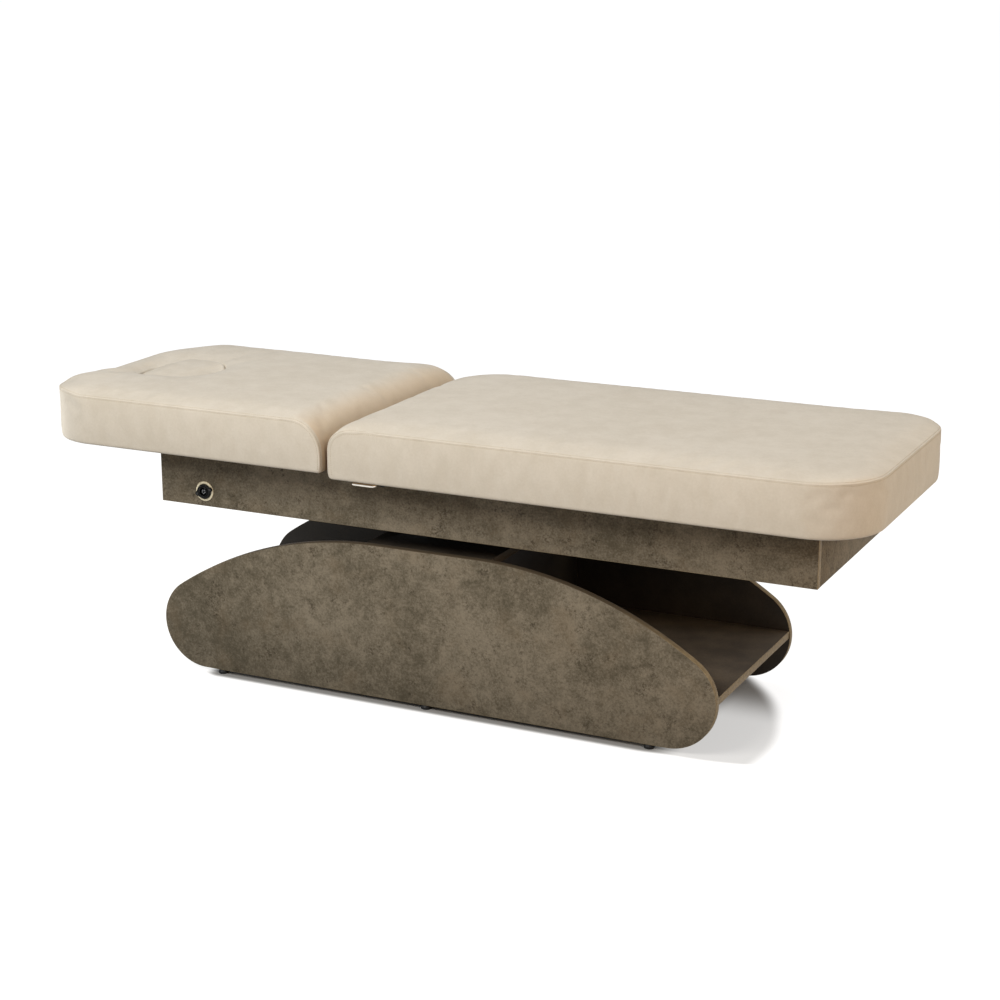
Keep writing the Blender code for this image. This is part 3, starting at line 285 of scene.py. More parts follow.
def arc(centre, radius, start, end, steps):
    """Points along an arc, angles in degrees, both ends included."""
    points = []
    for step in range(steps + 1):
        angle = math.radians(start + (end - start) * step / steps)
        points.append((centre[0] + radius * math.cos(angle), centre[1] + radius * math.sin(angle)))
    return points


def rectangle(length, width):
    x, y = length / 2, width / 2
    return [(-x, -y), (x, -y), (x, y), (-x, y)]


def plain_mesh(guide):
    """The evaluated shape of a guide object as a plain mesh; the guide goes."""
    bpy.context.view_layer.update()
    graph = bpy.context.evaluated_depsgraph_get()
    mesh = bpy.data.meshes.new_from_object(guide.evaluated_get(graph), depsgraph=graph)
    bpy.data.objects.remove(guide, do_unlink=True)
    return mesh


def joined_shape(guide):
    """The evaluated shape of a guide object with its doubled points joined; the guide goes."""
    mesh = plain_mesh(guide)
    shape = bmesh.new()
    shape.from_mesh(mesh)
    bpy.data.meshes.remove(mesh)
    bmesh.ops.remove_doubles(shape, verts=shape.verts, dist=0.00001)
    bmesh.ops.recalc_face_normals(shape, faces=shape.faces)
    return shape


def cut_shape(name, loops, thickness, arris, steps):
    """Flat outlines, the later ones holes, as a solid of that thickness with its edges rounded off."""
    outline = bpy.data.curves.new(name, "CURVE")
    outline.dimensions = "2D"
    outline.fill_mode = "BOTH"
    outline.extrude = thickness / 2 - arris
    outline.bevel_depth = arris
    outline.bevel_resolution = steps
    outline.offset = -arris
    for loop in loops:
        spline = outline.splines.new("POLY")
        spline.points.add(len(loop) - 1)
        for point, (x, y) in zip(spline.points, loop):
            point.co = (x, y, 0.0, 1.0)
        spline.use_cyclic_u = True
    return joined_shape(new_piece(name + "_outline", outline))


def smooth_mesh(name, shape, sharp=40.0):
    """A finished shape as a mesh, shaded smooth except across its sharp edges."""
    for face in shape.faces:
        face.smooth = True
    mesh = bpy.data.meshes.new(name)
    shape.to_mesh(mesh)
    shape.free()
    mesh.set_sharp_from_angle(angle=math.radians(sharp))
    return mesh


STONE, BAND, PLAIN = 0, 1, 2


def board(name, loops, centre, turn, body, node, facings=(STONE, STONE), plain=None):
    """A cut board with softened arrises and a banded edge, that stands for its CAD node.

    Facings are the finishes of its front and back.
    """
    shape = cut_shape(name, loops, BOARD_STOCK, ARRIS, 1)
    for face in shape.faces:
        face.material_index = BAND
        if abs(face.normal.z) > 0.99:
            face.material_index = facings[0] if face.normal.z > 0 else facings[1]
    shape.transform(Matrix.Translation(centre) @ turn)
    piece = new_piece(name, smooth_mesh(name, shape, 24.0), laminate, pale_band, plain or shade_dark_laminate)
    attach(piece, body)
    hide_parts(node)


laminate = stone_laminate()
# The plain dark laminate of the inside faces is painted shade for the shaded inside of the base.
shade_dark_laminate = plain_laminate("dark_brown_laminate", paint(41, 36, 30), paint(55, 49, 41))
pale_band = edge_band("pale_edge_band", paint(128, 113, 88), paint(158, 142, 112))

end_x = PANEL_LENGTH / 2 - PANEL_END_RADIUS
run = end_x - PANEL_TOP_FLAT / 2
rise = PANEL_HEIGHT - PANEL_END_RADIUS
# The long arc of each shoulder is tangent to the flat of the top and to the round end inside it.
shoulder_radius = (run**2 + rise**2 - PANEL_END_RADIUS**2) / (2 * (rise - PANEL_END_RADIUS))
shoulder_z = PANEL_HEIGHT - shoulder_radius
meeting = math.degrees(math.atan2(PANEL_END_RADIUS - shoulder_z, run))
egg_half = arc((end_x, PANEL_END_RADIUS), PANEL_END_RADIUS, -90, meeting, 48)
egg_half += arc((PANEL_TOP_FLAT / 2, shoulder_z), shoulder_radius, meeting, 90, 40)[1:]
egg = egg_half + [(-x, z) for x, z in reversed(egg_half)]
for row, y, facings in (("front", -PANEL_Y, (STONE, PLAIN)), ("rear", PANEL_Y, (PLAIN, STONE))):
    place = (BASE_X, y, PANEL_FOOT)
    board(f"{row}_side_panel", [egg], place, STANDING_ALONG_Y, "base", f"side_panel_{row}", facings)

# ------------------------------------------------------------------ Shelf and housing
# The shelf joins the panels low down, and two cross panels with a cover close the column in above it.
# All are the same laminated board, banded on the ends that show and dowelled between the side panels; their
# faces are plain laminate, darker than the panels' stone outside, as painted shade.

INNER_WIDTH = 0.4834
SHELF_LENGTH = 1.392
HOUSING_LENGTH = 0.315
SHELF_HOLE = (0.202, 0.162)
COVER_HOLE = (0.192, 0.152)
HOLE_FILLET = 0.010


def rounded_rectangle(length, width, radius, steps=8):
    x, y = length / 2 - radius, width / 2 - radius
    points = arc((-x, -y), radius, 180, 270, steps) + arc((x, -y), radius, 270, 360, steps)
    return points + arc((x, y), radius, 0, 90, steps) + arc((-x, y), radius, 90, 180, steps)


def middle(node):
    low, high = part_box(node)
    return (low + high) / 2


FLAT = Matrix.Identity(4)
# The shelf's brown laminate is painted shade: its darkness stands for the shade inside the base.
shelf_shade_laminate = plain_laminate("brown_laminate", paint(77, 69, 60), paint(99, 89, 77))
both_plain = (PLAIN, PLAIN)
loops = [rectangle(SHELF_LENGTH, INNER_WIDTH), rounded_rectangle(*SHELF_HOLE, HOLE_FILLET)]
board("shelf", loops, middle("shelf_board"), FLAT, "base", "shelf_board", both_plain, shelf_shade_laminate)
loops = [rectangle(HOUSING_LENGTH, INNER_WIDTH), rounded_rectangle(*COVER_HOLE, HOLE_FILLET)]
board("column_cover", loops, middle("housing_cover"), FLAT, "base", "housing_cover", both_plain)
for end in ("head", "foot"):
    node = f"housing_panel_{end}"
    low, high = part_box(node)
    wall = rectangle(INNER_WIDTH, high.z - low.z)
    board(f"column_wall_{end}", [wall], middle(node), STANDING_ALONG_X, "base", node, both_plain)

# ------------------------------------------------------------------ Glides
# Six black plastic feet nailed under the side panels, three to a panel.
# They are moulded with a fine matt texture and scuffed a little at the rim.


def dress(finish, *nodes):
    """A CAD node whose shape is right keeps its mesh and takes this finish."""
    for node in nodes:
        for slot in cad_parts[node].material_slots:
            slot.material = finish


def moulded_plastic(name, dark, light, rough, **constants):
    made, shader, place = new_finish(name, **constants)
    texture = place.noise(900.0, 2.0)
    scuff = place.noise(60.0, 5.0, 0.7).ramp(0.55, 0.75)
    colour = (texture * 0.5 + scuff * 0.5).blend(dark, light)
    surface(shader, colour, rough + scuff * 0.18, texture, 0.0001)
    return made


black_plastic = moulded_plastic("black_moulded_plastic", (0.008, 0.008, 0.009, 1), (0.03, 0.03, 0.032, 1),
                                0.5, Specular_IOR_Level=0.25)
for row in ("front", "rear"):
    dress(black_plastic, *[f"glide_{row}_{place}" for place in ("head", "middle", "foot")])

# ------------------------------------------------------------------ Steel base
# Two rectangular tubes span the panels under the shelf and carry the column's base plate.
# They are welded, powder coated black and bolted together with zinc-plated hexagon bolts.


def coated_steel(name, dark, light, rough):
    made, shader, place = new_finish(name, Metallic=0.0, Specular_IOR_Level=0.5)
    peel = place.noise(520.0, 2.0, 0.4)
    dust = place.noise(14.0, 5.0, 0.65)
    colour = (peel * 0.3 + dust * 0.7).ramp(0.3, 0.7).blend(dark, light)
    surface(shader, colour, rough + dust * 0.15, peel, 0.00015)
    return made


def bare_steel(name, dark, light, rough, drawn, metal=1.0):
    """Metal with fine lines along the direction in which it was drawn or turned."""
    made, shader, place = new_finish(name, Metallic=metal)
    lines = place.stretched(drawn).noise(1.0, 4.0, 0.6)
    smudge = place.noise(35.0, 4.0, 0.6)
    colour = (lines * 0.6 + smudge * 0.4).ramp(0.3, 0.7).blend(dark, light)
    surface(shader, colour, rough + lines * 0.1 + smudge * 0.08, lines, 0.00003)
    return made


def node_tree(name, given, result, nodes, links):
    """A geometry node tree with the given inputs and one result.

    Nodes are (kind, settings, input values) by a short name; links are (node, output, node, input).
    """
    tree = bpy.data.node_groups.new(name, "GeometryNodeTree")
    for socket, kind in given.items():
        tree.interface.new_socket(socket, in_out="INPUT", socket_type="NodeSocket" + kind)
    tree.interface.new_socket(result, in_out="OUTPUT", socket_type="NodeSocketGeometry")
    made = {"given": tree.nodes.new("NodeGroupInput"), "result": tree.nodes.new("NodeGroupOutput")}
    for short, (kind, settings, values) in nodes.items():
        made[short] = tree.nodes.new(kind)
        for setting, value in settings.items():
            setattr(made[short], setting, value)
        for socket, value in values.items():
            made[short].inputs[socket].default_value = value
    for start, output, end, entry in links:
        tree.links.new(made[start].outputs[output], made[end].inputs[entry])
    return tree


# Random Value has a Min, Max and Value socket for each kind of number; 2, 3 and output 1 are the float ones.
CHANCE = "FunctionNodeRandomValue"
COPIES = {
    "shape": ("GeometryNodeObjectInfo", {}, {"As Instance": True}),
    "placed": ("GeometryNodeInstanceOnPoints", {}, {}),
    "real": ("GeometryNodeRealizeInstances", {}, {}),
    "finished": ("GeometryNodeSetMaterial", {}, {}),
}
COPY_LINKS = [
    ("shape", "Geometry", "placed", "Instance"),
    ("placed", 0, "real", 0),
    ("real", 0, "finished", "Geometry"),
    ("finished", 0, "result", 0),
]


def heads_on_points():
    """Screw or bolt heads on the points of a guide mesh, each turned at random about its axis."""
    given = {"Points": "Geometry", "Head": "Object", "Facing": "Rotation"}
    given |= {"Finish": "Material", "Seed": "Int"}
    nodes = {
        "chance": (CHANCE, {}, {3: math.tau}),
        "spin": ("FunctionNodeAxisAngleToRotation", {}, {}),
        "turn": ("FunctionNodeRotateRotation", {"rotation_space": "LOCAL"}, {}),
        **COPIES,
    }
    links = [
        ("given", "Seed", "chance", "Seed"),
        ("chance", 1, "spin", "Angle"),
        ("given", "Facing", "turn", "Rotation"),
        ("spin", 0, "turn", "Rotate By"),
        ("given", "Head", "shape", "Object"),
        ("given", "Points", "placed", "Points"),
        ("turn", 0, "placed", "Rotation"),
        ("given", "Finish", "finished", "Material"),
    ]
    return node_tree("heads_on_points", given, "Heads", nodes, links + COPY_LINKS)


def grown_by(tree, name, mesh, inputs):
    """The mesh that a node tree makes from a guide mesh, with its named inputs set."""
    guide = new_piece(name + "_guide", mesh)
    modifier = guide.modifiers.new("grow", "NODES")
    modifier.node_group = tree
    for item in tree.interface.items_tree:
        if item.in_out == "INPUT" and item.name in inputs:
            modifier[item.identifier] = inputs[item.name]
    return plain_mesh(guide)


def fasten(name, points, facing, head, finish, body, seed):
    """One row of heads as a plain mesh that rides on a body. Facing turns the head's +Z outwards."""
    guide = bpy.data.meshes.new("points")
    guide.from_pydata(points, [], [])
    inputs = {"Head": head, "Facing": facing, "Finish": finish, "Seed": seed}
    piece = new_piece(name, grown_by(head_tree, name, guide, inputs))
    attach(piece, body)


def circle(radius, centre, steps=40):
    return arc(centre, radius, 0.0, 360.0, steps)[:-1]


def turned_shape(profile, steps):
    """Body of revolution about Z from (radius, height) points, closed on the axis."""
    shape = bmesh.new()
    rings = []
    for radius, height in profile:
        if radius < 1e-7:
            rings.append([shape.verts.new((0.0, 0.0, height))])
        else:
            ring = circle(radius, (0.0, 0.0), steps)
            rings.append([shape.verts.new((x, y, height)) for x, y in ring])
    for lower, upper in zip(rings, rings[1:]):
        for step in range(steps):
            ahead = (step + 1) % steps
            corners = [lower[step % len(lower)], lower[ahead % len(lower)]]
            corners += [upper[ahead % len(upper)], upper[step % len(upper)]]
            shape.faces.new(list(dict.fromkeys(corners)))
    bmesh.ops.recalc_face_normals(shape, faces=shape.faces)
    return shape


def head_object(name, shape):
    """A head kept out of the scene, for the node tree to copy."""
    mesh = bpy.data.meshes.new(name)
    shape.to_mesh(mesh)
    shape.free()
    return bpy.data.objects.new(name, mesh)


black_coat = coated_steel("black_powder_coat", (0.014, 0.014, 0.015, 1), (0.034, 0.033, 0.032, 1), 0.38)
zinc = bare_steel("zinc_plated_steel", (0.52, 0.53, 0.55, 1), (0.74, 0.75, 0.76, 1), 0.24, (420.0,) * 3)
dress(black_coat, "base_tube_head", "base_tube_foot", "base_plate")

head_tree = heads_on_points()
bolt_profile = [(0.0, 0.0), (0.0065, 0.0), (0.0065, 0.0009), (0.0056, 0.0009), (0.0056, 0.0046)]
bolt_head = head_object("bolt_head", turned_shape(bolt_profile + [(0.0048, 0.0053), (0.0, 0.0053)], 6))
FACING_UP = (0.0, 0.0, 0.0)
FACING_DOWN = (math.pi, 0.0, 0.0)
FACING_NEAR = (math.pi / 2, 0.0, 0.0)
BASE_PLATE_BOLTS = (0.122, 0.100)


def four_corners(reach_x, reach_y, z):
    """Bolt places round the column's axis."""
    return [(BASE_X + x, y, z) for x in (-reach_x, reach_x) for y in (-reach_y, reach_y)]


plate_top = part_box("base_plate")[1].z
fasten("base_plate_bolts", four_corners(*BASE_PLATE_BOLTS, plate_top), FACING_UP, bolt_head, zinc, "base", 3)

# ------------------------------------------------------------------ Lifting column
# Three telescoping rectangular steel tubes, painted grey, with moulded white guides between them.
# The top plate is welded to the inner tube and bolted to the frame of the couch top.

TOP_PLATE_BOLTS = (0.115, 0.120)

grey_paint = coated_steel("grey_column_paint", (0.15, 0.15, 0.155, 1), (0.23, 0.23, 0.235, 1), 0.34)
dress(grey_paint, "column_outer_tube", "column_middle_tube", "column_inner_tube")
white_guide = moulded_plastic("white_guide_plastic", (0.62, 0.61, 0.57, 1), (0.76, 0.75, 0.71, 1), 0.38)
dress(white_guide, "guide_collar_lower", "guide_collar_upper", "guide_shoe_lower", "guide_shoe_upper")
dress(black_coat, "column_top_plate")
plate_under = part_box("column_top_plate")[0].z
fasten("top_plate_bolts", four_corners(*TOP_PLATE_BOLTS, plate_under), FACING_DOWN, bolt_head, zinc, "top", 5)

# ------------------------------------------------------------------ Spindle drive
# A gear motor on the base plate turns a spindle, which pushes the steel tube under the top plate.
# The gearbox is moulded in black plastic, the motor can is painted and both tubes are bright drawn steel.

dress(black_plastic, "lift_gearbox")
dress(black_coat, "lift_motor")
drawn_steel = bare_steel("bright_drawn_steel", (0.5, 0.5, 0.52, 1), (0.7, 0.7, 0.71, 1), 0.22,
                         (900.0, 900.0, 12.0))
dress(drawn_steel, "lift_spindle_tube", "lift_push_tube")

# ------------------------------------------------------------------ Apron
# A box skirt of the same laminated board under the mattress; its long boards cover the short ones' ends.
# Its front board is drilled for the release lever and for the hand control's socket.

LEVER_X = -0.122
LEVER_Z = 0.523
SOCKET_X = -0.595
SOCKET_Z = 0.448
LEVER_HOLE = 0.0073
SOCKET_HOLE = 0.0158


for row in ("front", "rear"):
    node = f"apron_{row}"
    low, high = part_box(node)
    centre = middle(node)
    loops = [rectangle(high.x - low.x, high.z - low.z)]
    if row == "front":
        loops.append(circle(LEVER_HOLE, (LEVER_X - centre.x, LEVER_Z - centre.z)))
        loops.append(circle(SOCKET_HOLE, (SOCKET_X - centre.x, SOCKET_Z - centre.z)))
    board(f"{row}_apron_board", loops, centre, STANDING_ALONG_Y, "top", node)
for end in ("head", "foot"):
    node = f"apron_{end}"
    low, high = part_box(node)
    loops = [rectangle(high.y - low.y, high.z - low.z)]
    board(f"{end}_apron_board", loops, middle(node), STANDING_ALONG_X, "top", node)

# ------------------------------------------------------------------ Ladder frame
# Welded rectangular tubes inside the apron: two long rails on the column's top plate and four cross rails.
# Two rubber pads on the apron's upper edge take the head section when it lies flat.


def moulded_rubber():
    made, shader, place = new_finish("black_rubber_pad", Specular_IOR_Level=0.3)
    texture = place.noise(700.0, 2.0)
    bloom = place.noise(40.0, 4.0, 0.65).ramp(0.45, 0.75)
    colour = bloom.blend((0.012, 0.012, 0.012, 1), (0.04, 0.04, 0.039, 1))
    surface(shader, colour, 0.72 + bloom * 0.15, texture, 0.0002)
    return made


dress(black_coat, "long_rail_front", "long_rail_rear")
dress(black_coat, "cross_rail_head", "cross_rail_spring", "cross_rail_seat", "cross_rail_foot")
dress(moulded_rubber(), "rest_pad_front", "rest_pad_rear")

# ------------------------------------------------------------------ Hand control socket and control box
# A black two-eared socket with five contacts, screwed through a pale brass ring into the front apron board.
# The drive's control box, a plain moulded case, is screwed to the board's inner side.

RING_RADIUS = 0.0236
RING_BAND = 0.0062
RING_FACE = 0.0031
FLANGE_RADIUS = 0.0172
FLANGE_THICKNESS = 0.0036
FLANGE_ARRIS = 0.0007
FLANGE_BORE = 0.0118
EAR_REACH = 0.0182
EAR_RADIUS = 0.0056
EAR_FACINGS = (20.0, 200.0)
CORE_FACE = 0.0052
CONTACT_CIRCLE = 0.0040
CONTACT_FACINGS = (54.0, 126.0, 198.0, 270.0, 342.0)
SMALL_SCREW = 0.62
APRON_FACE = -0.2615


def eared_flange():
    """Round flange with an ear on each side, its edges rounded."""
    loop = []
    for facing in EAR_FACINGS:
        turn = math.radians(facing)
        ear = (EAR_REACH * math.cos(turn), EAR_REACH * math.sin(turn))
        loop += arc(ear, EAR_RADIUS, facing - 80, facing + 80, 12)
        loop += arc((0.0, 0.0), FLANGE_RADIUS, facing + 34, facing + 146, 20)
    return cut_shape("flange", [loop, circle(FLANGE_BORE, (0.0, 0.0))], FLANGE_THICKNESS, FLANGE_ARRIS, 2)


def placed_at(shape, depth):
    """Turned to face the near side and set on the socket's axis, that far in front of the board."""
    shape.transform(Matrix.Translation((SOCKET_X, APRON_FACE - depth, SOCKET_Z)) @ STANDING_ALONG_Y)
    return shape


def round_socket(radius, facings, depth):
    """Places round the socket's axis, that far in front of the board."""
    ring = [arc((SOCKET_X, SOCKET_Z), radius, facing, facing, 1)[0] for facing in facings]
    return [(x, APRON_FACE - depth, z) for x, z in ring]


gloss_plastic = moulded_plastic("black_gloss_plastic", (0.002, 0.002, 0.002, 1), (0.005, 0.005, 0.006, 1),
                                0.20, Specular_IOR_Level=0.16)
ring_brass = bare_steel("pale_brass", (0.74, 0.66, 0.46, 1), (0.86, 0.79, 0.60, 1), 0.42,
                        (300.0,) * 3, 0.25)
outer, inner = RING_RADIUS, RING_RADIUS - RING_BAND
ring_profile = [(inner, 0.0003), (outer, 0.0003), (outer, 0.0016), (outer - 0.0005, 0.0024)]
ring_profile += [(outer - 0.0014, 0.0028), (inner + 0.0014, 0.0028), (inner + 0.0004, 0.0024)]
ring_profile += [(inner, 0.0016)]
ring_shape = turned_shape(ring_profile + ring_profile[:1], 72)
bmesh.ops.remove_doubles(ring_shape, verts=ring_shape.verts, dist=0.00001)
bezel = new_piece("socket_ring", smooth_mesh("socket_ring", placed_at(ring_shape, 0.0), 50.0), ring_brass)
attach(bezel, "top")
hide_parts("socket_bezel")

flange = placed_at(eared_flange(), RING_FACE + FLANGE_THICKNESS / 2)
socket = new_piece("hand_control_socket", smooth_mesh("hand_control_socket", flange, 30.0), gloss_plastic)
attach(socket, "top")
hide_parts("control_socket")
# The barrel's collar stands out of the flange; its well holds a round core with the contacts.
barrel_profile = [(0.0, -0.026), (0.0150, -0.026), (0.0152, 0.0028), (0.0115, 0.0032), (0.0115, 0.0072)]
barrel_profile += [(0.0112, 0.0078), (0.0104, 0.0082), (0.0096, 0.0080), (0.0093, 0.0074), (0.0093, -0.0015)]
barrel_profile += [(0.0066, -0.0015), (0.0066, 0.0044), (0.0062, 0.0050), (0.0, CORE_FACE)]
barrel_shape = placed_at(turned_shape(barrel_profile, 48), 0.0)
barrel = new_piece("socket_barrel", smooth_mesh("socket_barrel", barrel_shape), gloss_plastic)
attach(barrel, "top")
contact_profile = [(0.0, -0.0012), (0.00075, -0.0012), (0.00075, 0.0004), (0.0011, 0.0004), (0.0012, 0.0)]
contact = head_object("contact", turned_shape(contact_profile + [(0.0012, -0.0020), (0.0, -0.0020)], 12))
contact_places = round_socket(CONTACT_CIRCLE, CONTACT_FACINGS, CORE_FACE)
fasten("socket_contacts", contact_places, FACING_NEAR, contact, zinc, "top", 31)
screw_profile = [(0.0, 0.0), (0.0046, 0.0), (0.0046, 0.0004), (0.0040, 0.0014), (0.0026, 0.0021)]
screw_profile += [(0.0013, 0.0022), (0.0012, 0.0008), (0.0, 0.0008)]
screw_head = head_object("screw_head", turned_shape(screw_profile, 12))
small_profile = [(radius * SMALL_SCREW, height * SMALL_SCREW) for radius, height in screw_profile]
small_screw = head_object("small_screw", turned_shape(small_profile, 12))
ear_places = round_socket(EAR_REACH, EAR_FACINGS, RING_FACE + FLANGE_THICKNESS)
fasten("socket_screws", ear_places, FACING_NEAR, small_screw, black_coat, "top", 32)
dress(black_plastic, "control_box")

# ------------------------------------------------------------------ Release lever
# A bent round rod, chrome plated, that turns in a plastic bush in the apron and frees the gas spring.
# The grip lies along the near edge of the seat cushion and ends in a rounded tip.

ROD_RADIUS = 0.004
ROD_BEND = 0.010
GRIP_LENGTH = 0.056
GRIP_REACH = 0.0385
LEVER_INSIDE = 0.040
LEVER_CRANK = 0.022


def chrome_plate():
    made, shader, place = new_finish("chrome_plate", Metallic=1.0)
    smudge = place.noise(90.0, 4.0, 0.6)
    colour = smudge.blend((0.86, 0.81, 0.73, 1), (0.95, 0.90, 0.82, 1))
    surface(shader, colour, 0.16 + smudge * 0.12, smudge, 0.00002)
    return made


def bent_route(corners, bend, steps):
    """Points through the corners, with each inner one rounded to the bend radius."""
    route = [Vector(corners[0])]
    for before, corner, after in zip(corners, corners[1:], corners[2:]):
        corner = Vector(corner)
        back, ahead = (Vector(before) - corner).normalized(), (Vector(after) - corner).normalized()
        centre = corner + (back + ahead) * bend
        for step in range(steps + 1):
            angle = math.radians(90 * step / steps)
            route.append(centre - ahead * bend * math.cos(angle) - back * bend * math.sin(angle))
    return route + [Vector(corners[-1])]


def rounded_rod(route, radius):
    """Round rod along a route, its ends drawn in to a dome."""
    start, end = route[0], route[-1]
    towards, beyond = (route[1] - start).normalized(), (route[-2] - end).normalized()
    domes, tails = [], []
    for turn in (8, 30, 50, 70, 90):
        reach, share = radius * (1 - math.cos(math.radians(turn))), math.sin(math.radians(turn))
        domes.append((start + towards * reach, share))
        tails.insert(0, (end + beyond * reach, share))
    rod = bpy.data.curves.new("rod", "CURVE")
    rod.dimensions = "3D"
    rod.bevel_depth = radius
    rod.bevel_resolution = 6
    rod.use_fill_caps = True
    line = rod.splines.new("POLY")
    places = domes + [(point, 1.0) for point in route[1:-1]] + tails
    line.points.add(len(places) - 1)
    for point, (place, share) in zip(line.points, places):
        point.co = (*place, 1.0)
        point.radius = share
    return joined_shape(new_piece("rod_line", rod))


lever_corners = [(-GRIP_LENGTH, -GRIP_REACH, 0.0), (0.0, -GRIP_REACH, 0.0)]
lever_corners += [(0.0, LEVER_INSIDE, 0.0), (0.0, LEVER_INSIDE, -LEVER_CRANK)]
lever_shape = rounded_rod(bent_route(lever_corners, ROD_BEND, 10), ROD_RADIUS)
lever_shape.transform(Matrix.Translation((LEVER_X, APRON_FACE, LEVER_Z)))
lever = new_piece("seat_release_lever", smooth_mesh("seat_release_lever", lever_shape, 60.0), chrome_plate())
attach(lever, "release_lever")
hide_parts("release_lever")
dress(black_plastic, "lever_bush")

# ------------------------------------------------------------------ Section boards
# Each upholstered section is built on 15 mm birch plywood, sanded and left bare underneath.
# The head section's board has the face hole cut in it, with a ledge that the plug stands on.


def birch_plywood():
    made, shader, place = new_finish("birch_plywood_board", Specular_IOR_Level=0.35)
    figure = place.stretched((3.0, 42.0, 4.0)).noise(1.6, 5.0, 0.6)
    pores = place.stretched((40.0, 900.0, 90.0)).noise(1.0, 2.0)
    tone = figure * 0.75 + pores * 0.25
    colour = tone.ramp(0.34, 0.66).blend(paint(196, 160, 116), paint(224, 196, 156))
    surface(shader, colour, 0.55 + pores * 0.12, pores, 0.0001)
    return made


dress(birch_plywood(), "seat_board", "head_board")

# ------------------------------------------------------------------ Seat cushion
# Firm foam on the board in cream matt leatherette: a top panel that rolls over the gap end, and a side band.
# The two are joined by a double topstitched seam, and the cover is stapled under the board's edge.

HALF_WIDTH = 0.345
FOAM_HEIGHT = 0.118
SHOULDER = 0.007
SHOULDER_RUN = 0.034
CROWN = 0.003
CROWN_RUN = 0.150
CORNER_RADIUS = 0.140
UNDER_ROLL = 0.012
UNDER_TUCK = 0.004
GAP_TUCK = 0.0095
UNDER_LIFT = 0.0025
BOARD_INSET = 0.016
POCKET_TOP = 0.0153
WEAVE = 0.0105
SWELL_STEPS = 20
SWELL_CAP = 0.006
SEAM_CREASE = 0.3


def leatherette():
    made, shader, place = new_finish("cream_matt_leatherette", Specular_IOR_Level=0.32, Sheen_Weight=0.08)
    clouds = place.noise(5.0, 4.0, 0.6)
    smear = place.stretched((1.0, 1.0, 0.55)).noise(26.0, 5.0, 0.62)
    nap = place.noise(190.0, 3.0, 0.6)
    grain = place.noise(1500.0, 2.0, 0.5)
    tone = clouds * 0.35 + smear * 0.4 + nap * 0.25
    colour = tone.ramp(0.34, 0.66).blend(paint(215, 205, 188), paint(227, 218, 203))
    rubbed = place.noise(9.0, 5.0, 0.65).ramp(0.54, 0.74)
    colour = (rubbed * 0.2).blend(colour, paint(206, 191, 170))
    # In the gap between the two sections the cover is painted browner, and darker low down and deeper in:
    # painted warm bounce light and shade of the narrow gap.
    along = place.axis("X")
    across = place.axis("Y")
    from_side = HALF_WIDTH - abs(across)
    gap_painted_shade = along.ramp(-0.310, -0.232) * along.ramp(-0.188, -0.216) * from_side.ramp(0.008, 0.014)
    colour = (gap_painted_shade * 0.65).blend(colour, paint(222, 193, 154))
    # Painted shade: low in the gap and further in from the side the cover is painted darker still.
    deep_gap_painted_shade = place.axis("Z").ramp(0.625, 0.585) * from_side.ramp(0.019, 0.029)
    colour = (gap_painted_shade * deep_gap_painted_shade * 0.8).blend(colour, paint(122, 88, 58))
    surface(shader, colour, 0.50 + smear * 0.2, grain * 0.6 + nap * 0.4, 0.00035)
    return made


def round_corner(x, y, radius):
    """A point of the square corner (0 to radius on both axes) moved into the round one."""
    u, v = x / radius, y / radius
    return x * math.sqrt(1 - v * v / 2), y * math.sqrt(1 - u * u / 2)


def stations(marks, step):
    """Values that pass through every mark, about one step apart."""
    values = [marks[0]]
    for start, end in zip(marks, marks[1:]):
        count = max(1, round(abs(end - start) / step))
        values += [start + (end - start) * k / count for k in range(1, count + 1)]
    return values


def fade(value):
    """From 1 at 0 down to 0 at 1, levelling out."""
    return (1.0 - min(max(value, 0.0), 1.0)) ** 2


def ease(value):
    return 1.0 - fade(value)


def rim(low_a, high_a, low_b, high_b):
    """The grid points round a block of cells, in order."""
    out = [(a, low_b) for a in range(low_a, high_a)] + [(high_a, b) for b in range(low_b, high_b)]
    back = [(a, high_b) for a in range(high_a, low_a, -1)] + [(low_a, b) for b in range(high_b, low_b, -1)]
    return out + back


def bridge(shape, ring, new_ring):
    """Faces between two closed rings of points."""
    for index in range(len(ring)):
        ahead = (index + 1) % len(ring)
        shape.faces.new((ring[index], ring[ahead], new_ring[ahead], new_ring[index]))


def smooth_once(piece):
    smoothing = piece.modifiers.new("smooth", "SUBSURF")
    smoothing.levels = smoothing.render_levels = 1


